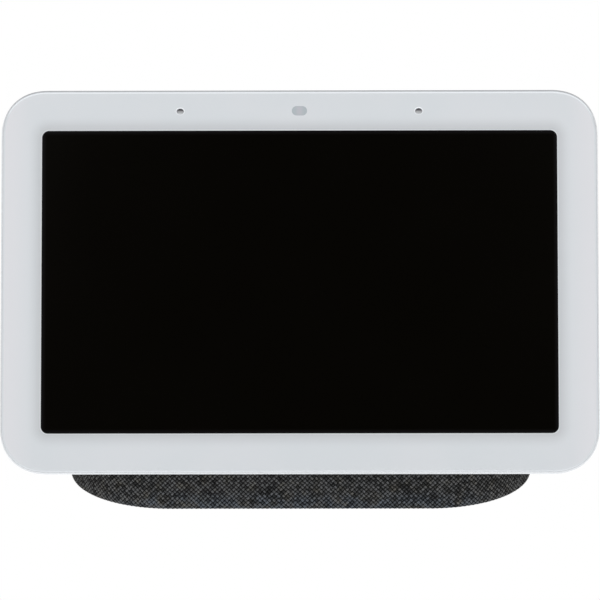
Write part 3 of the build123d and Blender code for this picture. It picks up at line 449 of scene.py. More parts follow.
def local_axes(tree):
    """x, height and depth in the head's own millimetres."""
    node = tree.nodes.new("ShaderNodeAttribute")
    node.attribute_name = "local_mm"
    split = tree.nodes.new("ShaderNodeSeparateXYZ")
    tree.links.new(node.outputs["Vector"], split.inputs[0])
    return split.outputs


# ---------------------------------------------------------------- materials
def moulded(name, colour, roughness=0.5, specular=0.4, grain=0.03, scale=900.0):
    """Moulded plastic with a very fine mottled grain."""
    material, tree, shader = new_material(name, roughness, 0.0, specular)
    place = object_place(tree)
    fine = noise(tree, place, scale, 3.0)
    tone = smooth_range(tree, fine, 0.3, 0.7, 1.0 - grain, 1.0 + grain)
    toned = tree.nodes.new("ShaderNodeVectorMath")
    toned.operation = "SCALE"
    toned.inputs[0].default_value = colour[:3]
    tree.links.new(tone, toned.inputs["Scale"])
    set_colour(tree, shader, toned.outputs[0])
    add_bump(tree, shader, fine, 0.06, 0.02)
    return material


def metal(name, colour, roughness=0.35, stretch=(40.0, 900.0, 900.0)):
    """Metal with faint drawn lines."""
    material, tree, shader = new_material(name, roughness, 1.0, 0.5)
    mapping = tree.nodes.new("ShaderNodeMapping")
    mapping.inputs["Scale"].default_value = stretch
    tree.links.new(object_place(tree), mapping.inputs["Vector"])
    lines = noise(tree, mapping.outputs[0], 1.0, 4.0)
    spread = smooth_range(tree, lines, 0.3, 0.7, roughness - 0.08, roughness + 0.08)
    tree.links.new(spread, shader.inputs["Roughness"])
    dark = tuple(0.85 * c for c in colour[:3]) + (1.0,)
    set_colour(tree, shader, blend_colour(tree, lines, dark, colour))
    return material


def border_material():
    """Light grey print under the glass, with painted shade darkening it beside the screen window, and its
    sides painted lighter towards their outer edge as the far end of that shade.
    """
    material, tree, shader = new_material("border_print", 0.32, 0.0, 0.35)
    x, s, _ = local_axes(tree)
    from_mid = calc(tree, "ABSOLUTE", calc(tree, "SUBTRACT", s, WINDOW_MID))
    dx = calc(tree, "SUBTRACT", calc(tree, "ABSOLUTE", x), WINDOW[0] / 2 - WINDOW_CORNER)
    ds = calc(tree, "SUBTRACT", from_mid, WINDOW[1] / 2 - WINDOW_CORNER)
    away_x = calc(tree, "MAXIMUM", dx, 0.0)
    away_s = calc(tree, "MAXIMUM", ds, 0.0)
    away = calc(tree, "SUBTRACT", length_of(tree, away_x, away_s), WINDOW_CORNER)
    # painted shade: the print darkens over the last few millimetres before the window
    window_shade = smooth_range(tree, away, -1.5, 4.6, 1.0, 0.0)
    cloud = noise(tree, combine(tree, x, s, 0.0), 0.045, 1.0)
    drift = smooth_range(tree, cloud, 0.35, 0.65, 0.0, 0.3)
    # painted light: the side borders lighten away from the window; the cloud share is random tone
    side = smooth_range(tree, calc(tree, "ABSOLUTE", x), 76.5, 87.0)
    plain = blend_colour(tree, calc(tree, "MAXIMUM", drift, side), BORDER_INNER, BORDER_OUTER)
    shaded = blend_colour(tree, window_shade, plain, BORDER_PAINTED_SHADE)
    hairline = smooth_range(tree, away, 0.2, 0.45, 1.0, 0.0)
    set_colour(tree, shader, blend_colour(tree, hairline, shaded, BORDER_HAIRLINE))
    return material


def screen_material():
    """The dark display behind the glass, a little less black along its edges."""
    material, tree, shader = new_material("screen_window", 0.12, 0.0, 0.06)
    x, s, _ = local_axes(tree)
    cloud = noise(tree, combine(tree, x, s, 0.0), 0.03, 1.0)
    middle = blend_colour(tree, cloud, SCREEN_A, SCREEN_B)
    in_x = calc(tree, "SUBTRACT", WINDOW[0] / 2, calc(tree, "ABSOLUTE", x))
    from_mid = calc(tree, "ABSOLUTE", calc(tree, "SUBTRACT", s, WINDOW_MID))
    in_s = calc(tree, "SUBTRACT", WINDOW[1] / 2, from_mid)
    edge = smooth_range(tree, calc(tree, "MINIMUM", in_x, in_s), 0.0, 1.5, 1.0, 0.0)
    set_colour(tree, shader, blend_colour(tree, edge, middle, SCREEN_EDGE))
    return material


def pill_material():
    """The light sensor's window: a cooler grey, a little warmer in the middle and darker at its rim."""
    material, tree, shader = new_material("sensor_window", 0.3, 0.0, 0.35)
    x, s, _ = local_axes(tree)
    off_x = calc(tree, "ABSOLUTE", x)
    off_s = calc(tree, "ABSOLUTE", calc(tree, "SUBTRACT", s, TOP_LINE))
    straight = (PILL[0] - PILL[1]) / 2
    out_x = calc(tree, "MAXIMUM", calc(tree, "SUBTRACT", off_x, straight), 0.0)
    reach = length_of(tree, out_x, off_s)
    middle = smooth_range(tree, off_x, 0.0, 1.7, 1.0, 0.0)
    body = blend_colour(tree, middle, PILL_BODY, PILL_MIDDLE)
    rim = smooth_range(tree, reach, 1.05, 1.45)
    set_colour(tree, shader, blend_colour(tree, rim, body, PILL_RIM))
    return material


def glass_edge_material():
    """The polished edge of the cover glass, with a painted highlight and a faint painted glow where it faces
    up.
    """
    material, tree, shader = new_material("glass_edge", 0.2, 0.0, 0.3)
    _, _, depth = local_axes(tree)
    share = smooth_range(tree, depth, 0.0, 0.6)
    plain = blend_colour(tree, share, EDGE_FRONT, EDGE_BACK)
    # painted highlight: the upward-facing chamfer is coloured near-white and made to glow faintly, standing
    # in for the overhead light it reflects
    lit = smooth_range(tree, height_faced(tree), 0.44, 0.66)
    set_colour(tree, shader, blend_colour(tree, lit, plain, EDGE_PAINTED_HIGHLIGHT))
    shader.inputs["Emission Color"].default_value = EDGE_PAINTED_HIGHLIGHT
    tree.links.new(calc(tree, "MULTIPLY", lit, EDGE_PAINTED_GLOW), shader.inputs["Emission Strength"])
    return material


def mic_cloth_material():
    """Grey acoustic cloth with a painted shadow under the upper edge of its hole and painted light on its
    lower part.
    """
    material, tree, shader = new_material("mic_cloth", 0.9, 0.0, 0.1)
    _, s, _ = local_axes(tree)
    low = calc(tree, "SUBTRACT", TOP_LINE - MIC_DROP, s)
    # painted shade at the top of the hole, painted light towards its bottom
    upper = smooth_range(tree, low, -0.45, 0.08)
    lower = smooth_range(tree, low, 0.05, 0.9)
    body = blend_colour(tree, upper, MIC_SHADE, MIC_GREY)
    colour = blend_colour(tree, lower, body, MIC_PAINTED_LIGHT)
    weave = smooth_range(tree, noise(tree, object_place(tree), 6000.0, 1.0), 0.3, 0.7, 0.0, 0.12)
    set_colour(tree, shader, blend_colour(tree, weave, colour, MIC_SHADE))
    return material


def housing_material():
    """Fine matte light grey plastic, with painted shade on the rim where it faces up or down beside the
    glass.
    """
    material, tree, shader = new_material("housing_plastic", 0.55, 0.0, 0.35)
    place = object_place(tree)
    fine = noise(tree, place, 1400.0, 3.0)
    wide = noise(tree, place, 14.0, 2.0)
    base = blend_colour(tree, wide, HOUSING_A, HOUSING_B)
    speck = smooth_range(tree, fine, 0.35, 0.75, 0.0, 0.10)
    specked = blend_colour(tree, speck, base, HOUSING_SPECK)
    _, _, depth = local_axes(tree)
    facing = height_faced(tree)
    # painted shade: the rim beside the glass darkens where it faces up or down
    upward = smooth_range(tree, facing, 0.4, 0.85)
    downward = smooth_range(tree, facing, -0.7, -0.2, 0.8, 0.0)
    near_rim = smooth_range(tree, depth, 0.6, 1.0, 1.0, 0.0)
    lip = calc(tree, "MULTIPLY", calc(tree, "ADD", upward, downward), near_rim)
    set_colour(tree, shader, blend_colour(tree, lip, specked, RIM_PAINTED_SHADE))
    add_bump(tree, shader, fine, 0.10, 0.02)
    return material


def fabric_material():
    """A plain weave laid at 45 degrees: round yarns that cross over and under, with dark gaps between. Each
    yarn is painted lighter on its crown and darker where it dips under, painted shade on the weave's relief.
    """
    material, tree, shader = new_material("woven_fabric", 0.95, 0.0, 0.04)
    uv = tree.nodes.new("ShaderNodeUVMap")
    uv.uv_map = "weave"
    split = tree.nodes.new("ShaderNodeSeparateXYZ")
    tree.links.new(uv.outputs[0], split.inputs[0])
    u, v = split.outputs[0], split.outputs[1]
    scale = 1 / (2**0.5 * YARN)
    a = calc(tree, "MULTIPLY", calc(tree, "ADD", u, v), scale)
    b = calc(tree, "MULTIPLY", calc(tree, "SUBTRACT", u, v), scale)
    sway = calc(tree, "SUBTRACT", noise(tree, combine(tree, a, b, 0.0), 0.8), 0.5)
    wobble = calc(tree, "MULTIPLY", sway, 0.22)
    a = calc(tree, "ADD", a, wobble)
    b = calc(tree, "SUBTRACT", b, wobble)
    ia, ib = calc(tree, "FLOOR", a), calc(tree, "FLOOR", b)
    fa = calc(tree, "SUBTRACT", calc(tree, "FRACT", a), 0.5)
    fb = calc(tree, "SUBTRACT", calc(tree, "FRACT", b), 0.5)
    half_sum = calc(tree, "MULTIPLY", calc(tree, "ADD", ia, ib), 0.5)
    odd = calc(tree, "MULTIPLY", calc(tree, "FRACT", half_sum), 2.0)
    across = blend_value(tree, odd, fa, fb)
    along = blend_value(tree, odd, fb, fa)
    ratio = calc(tree, "MULTIPLY", calc(tree, "ABSOLUTE", across), 2.0 / YARN_WIDTH)
    body = calc(tree, "MAXIMUM", calc(tree, "SUBTRACT", 1.0, calc(tree, "POWER", ratio, YARN_CROWN)), 0.0)
    lift = calc(tree, "COSINE", calc(tree, "MULTIPLY", along, pi * 0.92))
    height = calc(tree, "MULTIPLY", body, calc(tree, "POWER", calc(tree, "MAXIMUM", lift, 0.0), 0.6))
    cell = white_noise(tree, combine(tree, ia, ib, 3.0))
    yarn_id = blend_value(tree, odd, ia, calc(tree, "ADD", ib, 911.0))
    yarn = white_noise(tree, combine(tree, yarn_id, odd, 7.0))
    strand_along = calc(tree, "ADD", calc(tree, "MULTIPLY", along, 1.4), calc(tree, "MULTIPLY", cell, 40.0))
    strand_place = combine(tree, calc(tree, "MULTIPLY", across, 7.0), strand_along, yarn_id)
    strand = noise(tree, strand_place, 1.0, 2.0, 0.6)
    # painted highlight and shade: brightness follows the yarn's height, lighter on top and darker where it
    # dips; the gaps are dark openings
    bright = calc(tree, "MULTIPLY", height, blend_value(tree, cell, *CELL_SPREAD))
    bright = calc(tree, "MULTIPLY", bright, blend_value(tree, yarn, *YARN_SPREAD))
    bright = calc(tree, "MULTIPLY", bright, smooth_range(tree, strand, 0.3, 0.7, *STRAND_SPREAD))
    # painted light: brighter low on the cloth, standing in for floor bounce
    bright = calc(tree, "MULTIPLY", bright, smooth_range(tree, v, *LOW_BOUNCE_HEIGHTS, *LOW_BOUNCE_LIFT))
    grey = blend_colour(tree, bright, FABRIC_DARK, FABRIC_LIGHT)
    hue_place = combine(tree, u, v, 0.0)
    warm = smooth_range(tree, noise(tree, hue_place, 0.3, 3.0), 0.45, 0.72)
    low = smooth_range(tree, v, *COOL_HEIGHTS, 1.0, 0.15)
    cool = smooth_range(tree, noise(tree, combine(tree, v, u, 9.0), 0.28, 3.0), 0.3, 0.58)
    ends = smooth_range(tree, calc(tree, "ABSOLUTE", u), *END_PLACES)
    middle = calc(tree, "SUBTRACT", 1.0, calc(tree, "MULTIPLY", ends, 0.85))
    tinted = tint(tree, grey, calc(tree, "MAXIMUM", warm, calc(tree, "MULTIPLY", ends, 0.2)), WARM_TINT)
    tinted = tint(tree, tinted, calc(tree, "MULTIPLY", cool, calc(tree, "MULTIPLY", low, middle)), COOL_TINT)
    set_colour(tree, shader, tinted)
    add_bump(tree, shader, height, 0.55, 0.25)
    return material


# ---------------------------------------------------------------- head: glass
def mic_rings(shell, x):
    """The rings down one microphone hole, from its bevelled mouth to the glass's back."""
    mouth = shell.ring(mic_outline(x, MIC_BEVEL), 0.0)
    lip = shell.ring(mic_outline(x, 0.06), MIC_BEVEL * 0.3)
    wall = shell.ring(mic_outline(x, 0.0), MIC_BEVEL * 0.8)
    back = shell.ring(mic_outline(x, 0.0), GLASS_T)
    return mouth, lip, wall, back


def build_glass():
    border, screen, pill, edge, bevel = range(5)
    shell = Shell()
    angles = np.linspace(0, pi / 2, 5)
    rings = [
        shell.ring(head_outline(GLASS_INSET + GLASS_EDGE[0] * (1 - sin(a))), GLASS_EDGE[1] * (1 - cos(a)))
        for a in angles
    ]
    rings.append(shell.ring(head_outline(GLASS_INSET), GLASS_T))
    for ring_a, ring_b in zip(rings, rings[1:]):
        shell.skin(ring_a, ring_b, edge)
    window = shell.ring(rounded_outline(*WINDOW, WINDOW_CORNER, steps=12, centre=(0, WINDOW_MID)), 0.0)
    sensor = shell.ring(pill_outline(0.0, TOP_LINE, *PILL), 0.0)
    mouths, backs = [], []
    for x in MIC_X:
        mouth, lip, wall, back = mic_rings(shell, x)
        shell.skin(mouth, lip, bevel)
        shell.skin(lip, wall, edge)
        shell.skin(wall, back, edge)
        mouths.append(mouth)
        backs.append(back)
    shell.plate(rings[0], mouths, [(window, screen), (sensor, pill)], border)
    shell.plate(rings[-1], backs, slot=edge)
    # painted highlight: the bevelled mouth of each mic hole is coloured near-white for the light it catches
    mic_bevel = moulded("mic_bevel", MIC_RING_HIGHLIGHT, 0.3, 0.4, 0.01)
    materials = [border_material(), screen_material(), pill_material(), glass_edge_material(), mic_bevel]
    glass = shell.build("glass_panel", materials, 25.0)
    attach(glass, "display_and_base")
    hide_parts("cover_glass", "border_print")
    return glass


def build_mic_meshes():
    """A disc of grey acoustic cloth a little way down each microphone hole."""
    cloth_material = mic_cloth_material()
    for name, x in zip(("mic_cloth_left", "mic_cloth_right"), MIC_X):
        shell = Shell()
        front = shell.ring(mic_outline(x, -0.01), CLOTH_DEPTHS[0])
        back = shell.ring(mic_outline(x, -0.01), CLOTH_DEPTHS[1])
        shell.plate(front)
        shell.plate(back)
        shell.skin(front, back)
        cloth = shell.build(name, [cloth_material])
        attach(cloth, "display_and_base")


# ---------------------------------------------------------------- head: housing
def build_housing():
    """The housing's rim, side band and curved back, with its wall's inner side and its openings."""
    shell = Shell()
    curve = np.linspace(0, pi / 2, 17)[1:]
    round_over = np.linspace(0, pi / 2, 6)
    profile = [(RIM_EDGE, RIM_SEAT), (RIM_EDGE, RIM_DROP)]
    profile += [(RIM_ROUND * (1 - sin(a)), RIM_DROP + RIM_ROUND * (1 - cos(a))) for a in round_over]
    profile += [(0.0, 1.6), (0.0, 2.8), (0.0, BACK_START)]
    profile += [(BACK_CURVE[0] * (1 - cos(a)), BACK_START + BACK_CURVE[1] * sin(a)) for a in curve]
    outer = [shell.ring(head_outline(inset), depth) for inset, depth in profile]
    inner_width, inner_depth = INNER_CURVE
    inner_profile = [
        (WALL_T + inner_width * (1 - cos(a)), BACK_START + inner_depth * sin(a)) for a in curve[::-2]
    ]
    inner_profile += [(WALL_T, BACK_START), (WALL_T, STEP_DEPTH)]
    inner_profile += [(STEP_INSET, STEP_DEPTH), (STEP_INSET, RIM_SEAT)]
    inner = [shell.ring(head_outline(inset), depth) for inset, depth in inner_profile]
    for ring_a, ring_b in zip(outer, outer[1:]):
        shell.skin(ring_a, ring_b)
    for ring_a, ring_b in zip(inner, inner[1:]):
        shell.skin(ring_a, ring_b)
    shell.skin(inner[-1], outer[0])
    mouths, floors = [], []
    for make, place, size in openings():
        grow = OPENING_BEVEL
        mouth = shell.ring(make(*place, *(v + 2 * grow for v in size[:2]), *size[2:]), HEAD_T)
        lip = shell.ring(make(*place, *(v + 0.5 * grow for v in size[:2]), *size[2:]), HEAD_T - 0.4 * grow)
        wall = shell.ring(make(*place, *size), HEAD_T - grow)
        floor = shell.ring(make(*place, *size), HEAD_T - OPENING_DEPTH)
        shell.skin(mouth, lip)
        shell.skin(lip, wall)
        shell.skin(wall, floor)
        mouths.append(mouth)
        floors.append(floor)
    shell.plate(outer[-1], mouths)
    shell.plate(inner[0], floors)
    housing = shell.build("housing", [housing_material()], 32.0)
    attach(housing, "display_and_base")
    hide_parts("rear_housing")
    return housing


def slot_outline(x, y, width, height, corner):
    return rounded_outline(width, height, corner, steps=10, centre=(x, y))


def openings():
    """How each opening in the back is drawn: outline function, place and size."""
    return [
        (slot_outline, (0.0, SLOT_S), SLOT),
        (pill_outline, ROCKER_PLACE, ROCKER),
        (pill_outline, REAR_MIC[:2], (2 * REAR_MIC[2], 2 * REAR_MIC[2])),
    ]


# ---------------------------------------------------------------- base: fabric
def base_columns():
    """Fractions that place each column of the cover: (share of flat, share of end, share of half depth)."""
    quarter = np.linspace(0, pi / 2, 2000)
    half_depth = (BACK_REACH - BASE_FRONT) / 2
    step = np.hypot(BASE_END * np.sin(quarter), half_depth * np.cos(quarter))
    length = np.concatenate([[0], np.cumsum((step[1:] + step[:-1]) / 2 * np.diff(quarter))])
    fine, coarse = FINE_STEP, COARSE_STEP
    flat_front = np.linspace(0, 1, int(BASE_FLAT / fine) + 1)[:-1]
    front_places = np.linspace(0, length[-1], int(length[-1] / fine) + 1)[:-1]
    front_angles = np.interp(front_places, length, quarter)
    back_from_side = length[-1] - length[::-1]
    back_places = np.linspace(0, length[-1], int(length[-1] / coarse) + 1)[:-1]
    back_angles = np.interp(back_places, back_from_side, pi / 2 - quarter[::-1])
    flat_back = np.linspace(1, 0, int(BASE_FLAT / coarse) + 1)
    right = [(f, 0.0, -1.0) for f in flat_front]
    right += [(1.0, sin(a), -cos(a)) for a in front_angles]
    right += [(1.0, cos(a), sin(a)) for a in back_angles]
    right += [(f, 0.0, 1.0) for f in flat_back]
    left = [(-f, -e, h) for f, e, h in right[-2:0:-1]]
    return np.array(right + left), len(right) - 1


def level(z, inset):
    """The cover's outline at one height: (z, flat half, end half, front, back)."""
    if z <= SHOULDER_Z:
        return (z, BASE_FLAT, BASE_END - inset, BASE_FRONT + inset, BACK_REACH - inset)
    share = (z - SHOULDER_Z) / (DOME_H - inset)
    back = BACK_CORE + (BACK_REACH - BACK_CORE - inset) * (1 - share**2) ** 0.5
    width = (1 - share**WIDTH_POWER) ** (1 / WIDTH_POWER)
    return (z, BASE_FLAT * width, (BASE_END - inset) * width, BASE_FRONT + inset, back)


def base_levels(inset, fine, coarse):
    """Levels from the tucked edge underneath, round the bottom corner and up to the top."""
    bottom = FABRIC_BOTTOM + inset
    corner = BOTTOM_ROUND - inset
    rows = []
    for i in np.arange(TUCK, BOTTOM_ROUND, -0.5):
        rows.append((bottom, BASE_FLAT, BASE_END - i, BASE_FRONT + i, BACK_REACH - i))
    for a in np.linspace(0, pi / 2, max(int(corner * pi / 2 / fine), 3), endpoint=False):
        i = BOTTOM_ROUND - corner * sin(a)
        rows.append((bottom + corner * (1 - cos(a)), BASE_FLAT, BASE_END - i, BASE_FRONT + i, BACK_REACH - i))
    fine_rows = np.arange(FABRIC_BOTTOM + BOTTOM_ROUND, FINE_TOP, fine)
    rows += [level(z, inset) for z in fine_rows]
    top = SHOULDER_Z + (DOME_H - inset) * 0.985
    lift = np.linspace(0, 1, int((top - FINE_TOP) / coarse) + 1)[1:]
    rows += [level(FINE_TOP + (top - FINE_TOP) * (1 - (1 - t) ** 1.35), inset) for t in lift]
    return rows


def base_grid(columns, rows):
    """Row-frame points of a grid of levels and columns."""
    grid = np.zeros((len(rows), len(columns), 3))
    for i, (z, flat, end, front, back) in enumerate(rows):
        grid[i, :, 0] = flat * columns[:, 0] + end * columns[:, 1]
        grid[i, :, 1] = FRONT_Y + (front + back) / 2 + (back - front) / 2 * columns[:, 2]
        grid[i, :, 2] = z
    return grid


def weave_places(grid, back_column):
    """Distance round and up the cloth for each grid point, and the distance once round it."""
    closed = np.concatenate([grid, grid[:, :1]], axis=1)
    steps = np.linalg.norm(np.diff(closed, axis=1), axis=2)
    whole = steps.sum(axis=1)
    from_front = np.concatenate([np.zeros((len(grid), 1)), np.cumsum(steps, axis=1)], axis=1)
    base_whole = whole[np.argmax(grid[:, 0, 2] >= FABRIC_BOTTOM + BOTTOM_ROUND)]
    to_back = from_front - from_front[:, back_column : back_column + 1]
    share = from_front / whole[:, None]
    near_front = np.where(share <= 0.5, from_front, from_front - whole[:, None])
    near_back = np.where(share <= 0.5, base_whole / 2 + to_back, -base_whole / 2 + to_back)
    side = np.abs(np.where(share <= 0.5, share, share - 1.0))
    blend = np.clip((side - 0.17) / 0.16, 0, 1)
    blend = blend * blend * (3 - 2 * blend)
    around = near_front * (1 - blend) + near_back * blend
    rise = np.linalg.norm(np.diff(grid[:, back_column], axis=0), axis=1)
    up = np.concatenate([[0], np.cumsum(rise)])
    return around, up, base_whole


def weave_height(u, v):
    """Height of the woven surface from 0 in the gaps to 1 on top of a yarn."""
    a = (u + v) / (2**0.5 * YARN)
    b = (u - v) / (2**0.5 * YARN)
    fa, fb = a - np.floor(a) - 0.5, b - np.floor(b) - 0.5
    odd = (np.floor(a) + np.floor(b)) % 2 > 0.5
    across = np.where(odd, fb, fa)
    along = np.where(odd, fa, fb)
    body = np.sqrt(np.maximum(1 - (2 * across / YARN_WIDTH) ** 2, 0))
    return body * np.maximum(np.cos(along * pi * 0.92), 0) ** 0.6


def grid_normals(grid):
    du = np.roll(grid, -1, axis=1) - np.roll(grid, 1, axis=1)
    dv = np.gradient(grid, axis=0)
    n = np.cross(du, dv)
    return n / np.maximum(np.linalg.norm(n, axis=2, keepdims=True), 1e-9)


def sheet(bm, grid, uv_layer, around=None, up=None, whole=0.0):
    """Adds a closed-round grid of quads to bm and gives its rows of vertices."""
    rows, cols = grid.shape[:2]
    verts = [[bm.verts.new(grid[i, j] * MM) for j in range(cols)] for i in range(rows)]
    for i in range(rows - 1):
        for j in range(cols):
            k = (j + 1) % cols
            face = bm.faces.new((verts[i][j], verts[i][k], verts[i + 1][k], verts[i + 1][j]))
            if around is None:
                continue
            corners = ((i, j), (i, j + 1), (i + 1, j + 1), (i + 1, j))
            places = [around[r, c] for r, c in corners]
            if max(places) - min(places) > whole / 2:
                places = [p if p > 0 else p + whole for p in places]
            for loop, place, (r, _) in zip(face.loops, places, corners):
                loop[uv_layer].uv = (place, up[r])
    return verts


def build_fabric():
    """The cloth cover: an outer woven skin, a plain inner skin, and the edges that join them."""
    columns, back_column = base_columns()
    outer = base_grid(columns, base_levels(0.0, FINE_STEP, 1.3))
    around, up, whole = weave_places(outer, back_column)
    height = weave_height(around[:, :-1], up[:, None])
    front_share = np.clip((0.35 - columns[:, 2]) / 0.3, 0, 1)
    low_share = np.clip((RELIEF_TOP - outer[:, 0, 2]) / 3.0, 0, 1)
    relief = YARN_DROP * front_share[None, :] * low_share[:, None]
    outer -= grid_normals(outer) * ((1 - height) * relief)[:, :, None]
    inner = base_grid(columns, base_levels(FABRIC_T, 1.2, 3.2))
    bm = bmesh.new()
    uv_layer = bm.loops.layers.uv.new("weave")
    out_rows = sheet(bm, outer, uv_layer, around, up, whole)
    in_rows = sheet(bm, inner, uv_layer)
    for j in range(len(columns)):
        k = (j + 1) % len(columns)
        bm.faces.new((out_rows[0][j], out_rows[0][k], in_rows[0][k], in_rows[0][j]))
    origin = head_to_row([(0.0, MID, NECK_DEPTH)])[0] * MM
    toward_front = (0.0, -cos(TILT), sin(TILT))
    everything = bm.verts[:] + bm.edges[:] + bm.faces[:]
    cut = bmesh.ops.bisect_plane(
        bm, geom=everything, dist=1e-7, plane_co=origin, plane_no=toward_front, clear_outer=True
    )
    rim = [e for e in cut["geom_cut"] if isinstance(e, bmesh.types.BMEdge) and e.is_boundary]
    bmesh.ops.triangle_fill(bm, use_beauty=True, use_dissolve=False, edges=rim, normal=toward_front)
    bmesh.ops.recalc_face_normals(bm, faces=bm.faces)
    mesh = bpy.data.meshes.new("fabric_cover_woven")
    bm.to_mesh(mesh)
    bm.free()
    mesh.materials.append(fabric_material())
    mesh.shade_smooth()
    mesh.set_sharp_from_angle(angle=radians(70))
    cover = bpy.data.objects.new("fabric_cover_woven", mesh)
    bpy.context.scene.collection.objects.link(cover)
    cut_jack_hole(cover)
    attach(cover, "display_and_base")
    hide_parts("fabric_cover")
    return cover


def cut_jack_hole(cover):
    """Opens the cover round the power socket's ring."""
    x, z, radius = JACK
    ring = circle_outline(x, z, radius, 64)
    y0, y1 = FRONT_Y + 60.0, FRONT_Y + 76.0
    points = [(px, y0, pz) for px, pz in ring] + [(px, y1, pz) for px, pz in ring]
    n = len(ring)
    faces = [(i, (i + 1) % n, n + (i + 1) % n, n + i) for i in range(n)]
    faces += [tuple(range(n)), tuple(range(2 * n - 1, n - 1, -1))]
    cutter = add_mesh("jack_cutter", points, faces, [])
    modifier = cover.modifiers.new("jack_hole", "BOOLEAN")
    modifier.operation = "DIFFERENCE"
    modifier.solver = "EXACT"
    modifier.object = cutter
    graph = bpy.context.evaluated_depsgraph_get()
    finished = bpy.data.meshes.new_from_object(cover.evaluated_get(graph))
    cover.modifiers.clear()
    cover.data = finished
    finished.name = "fabric_cover_woven"
    bpy.data.objects.remove(cutter)


# ---------------------------------------------------------------- carried-over CAD pieces
def carried_materials():
    """One material for each finish that the CAD pieces use."""
    grey, black = srgb(70, 70, 72), srgb(26, 26, 27)
    return {
        "housing_plastic": moulded("housing_moulding", HOUSING_A, 0.55),
        "clear_glass": moulded("glass_core", srgb(200, 206, 208), 0.1, 0.8, 0.01),
        "black_tape": moulded("adhesive_tape", srgb(20, 20, 20), 0.7, 0.2),
        "border_ink": moulded("border_ink", BORDER_INNER, 0.5),
        "dark_screen": moulded("dark_layers", srgb(8, 8, 8), 0.3, 0.3),
        "clear_acrylic": moulded("milky_acrylic", srgb(220, 224, 226), 0.3, 0.6, 0.01),
        "led_board": moulded("led_board", srgb(215, 206, 170), 0.5),
        "steel_sheet": metal("steel_sheet", srgb(180, 180, 180), 0.4),
        "dark_plastic": moulded("dark_plastic", srgb(38, 38, 40), 0.6),
        "screw_steel": metal("screw_steel", srgb(150, 150, 152), 0.35),
        "aluminium_sheet": metal("aluminium_sheet", srgb(205, 206, 208), 0.45),
        "circuit_board": moulded("circuit_board", srgb(24, 74, 46), 0.45, 0.5, 0.12, 300.0),
        "black_rubber": moulded("black_rubber", srgb(28, 28, 28), 0.85, 0.2),
        "sensor_lens": moulded("sensor_lens", srgb(186, 190, 196), 0.25, 0.5, 0.01),
        "black_chip": moulded("black_chip", black, 0.5, 0.4),
        "flex_amber": moulded("flex_film", srgb(190, 110, 40), 0.35, 0.5),
        "thermal_grey": moulded("thermal_pad", srgb(140, 146, 152), 0.9, 0.1, 0.08),
        "connector_white": moulded("connector_white", srgb(222, 218, 205), 0.5),
        "antenna_brass": metal("antenna_foil", srgb(214, 180, 110), 0.35),
        "control_plastic": moulded("control_plastic", srgb(186, 190, 193), 0.5, 0.4, 0.02),
        "mark_orange": moulded("mark_orange", srgb(232, 104, 30), 0.5),
        "insert_brass": metal("insert_brass", srgb(214, 180, 110), 0.3),
        "base_plastic": moulded("base_plastic", grey, 0.6, 0.35, 0.05),
        "foot_rubber": moulded("foot_rubber", srgb(60, 60, 62), 0.9, 0.15, 0.08, 500.0),
        "jack_plastic": moulded("jack_plastic", srgb(24, 24, 25), 0.4, 0.5),
        "pin_brass": metal("pin_brass", srgb(224, 196, 128), 0.25),
        "cable_black": moulded("cable_sleeve", srgb(24, 24, 24), 0.7, 0.2),
        "magnet_ferrite": moulded("magnet_ferrite", srgb(52, 52, 54), 0.7, 0.4, 0.1),
        "coil_aluminium": metal("coil_wire", srgb(196, 130, 82), 0.35),
        "cone_paper": moulded("cone_paper", srgb(44, 44, 44), 0.9, 0.1, 0.15, 600.0),
        "spider_fabric": moulded("spider_cloth", srgb(168, 138, 80), 0.9, 0.1, 0.15, 800.0),
        "woven_fabric": moulded("fabric_plain", srgb(50, 50, 51), 0.9, 0.1, 0.15, 800.0),
    }


def dress_cad_pieces():
    finishes = carried_materials()
    slots = {part["node"]: part["material_slot"] for part in frame["record"]["subparts"]}
    for name, obj in frame["nodes"].items():
        obj.data.materials.clear()
        obj.data.materials.append(finishes[slots[name]])


def soften_edges():
    """A small rounding on the edges of the pieces a hand meets."""
    for name, width in (("mute_slider", 0.15), ("base_plate", 0.3), ("jack_bezel", 0.25)):
        bevel = frame["nodes"][name].modifiers.new("soft_edges", "BEVEL")
        bevel.width = width * MM
        bevel.segments = 3
        bevel.limit_method = "ANGLE"
        bevel.angle_limit = radians(50)


# ---------------------------------------------------------------- stage, light and camera
def build_floor():
    """A plain white floor that stays white to the camera and bounces light to the object."""
    material, tree, shader = new_material("white_floor", 0.9, 0.0, 0.0)
    shader.inputs["Base Color"].default_value = (0.9, 0.9, 0.9, 1.0)
    shader.inputs["Emission Color"].default_value = WHITE
    shader.inputs["Emission Strength"].default_value = FLOOR_GLOW
    glow = tree.nodes.new("ShaderNodeEmission")
    glow.inputs["Color"].default_value = WHITE
    glow.inputs["Strength"].default_value = 1.0
    path = tree.nodes.new("ShaderNodeLightPath")
    pick = tree.nodes.new("ShaderNodeMixShader")
    tree.links.new(path.outputs["Is Camera Ray"], pick.inputs[0])
    tree.links.new(shader.outputs[0], pick.inputs[1])
    tree.links.new(glow.outputs[0], pick.inputs[2])
    tree.links.new(pick.outputs[0], tree.nodes["Material Output"].inputs["Surface"])
    outline = circle_outline(0.0, 0.0, FLOOR_RADIUS, 96)
    points = [(x, y, -FLOOR_GAP) for x, y in outline]
    floor = add_mesh("floor", points, [tuple(range(len(points)))], [material])


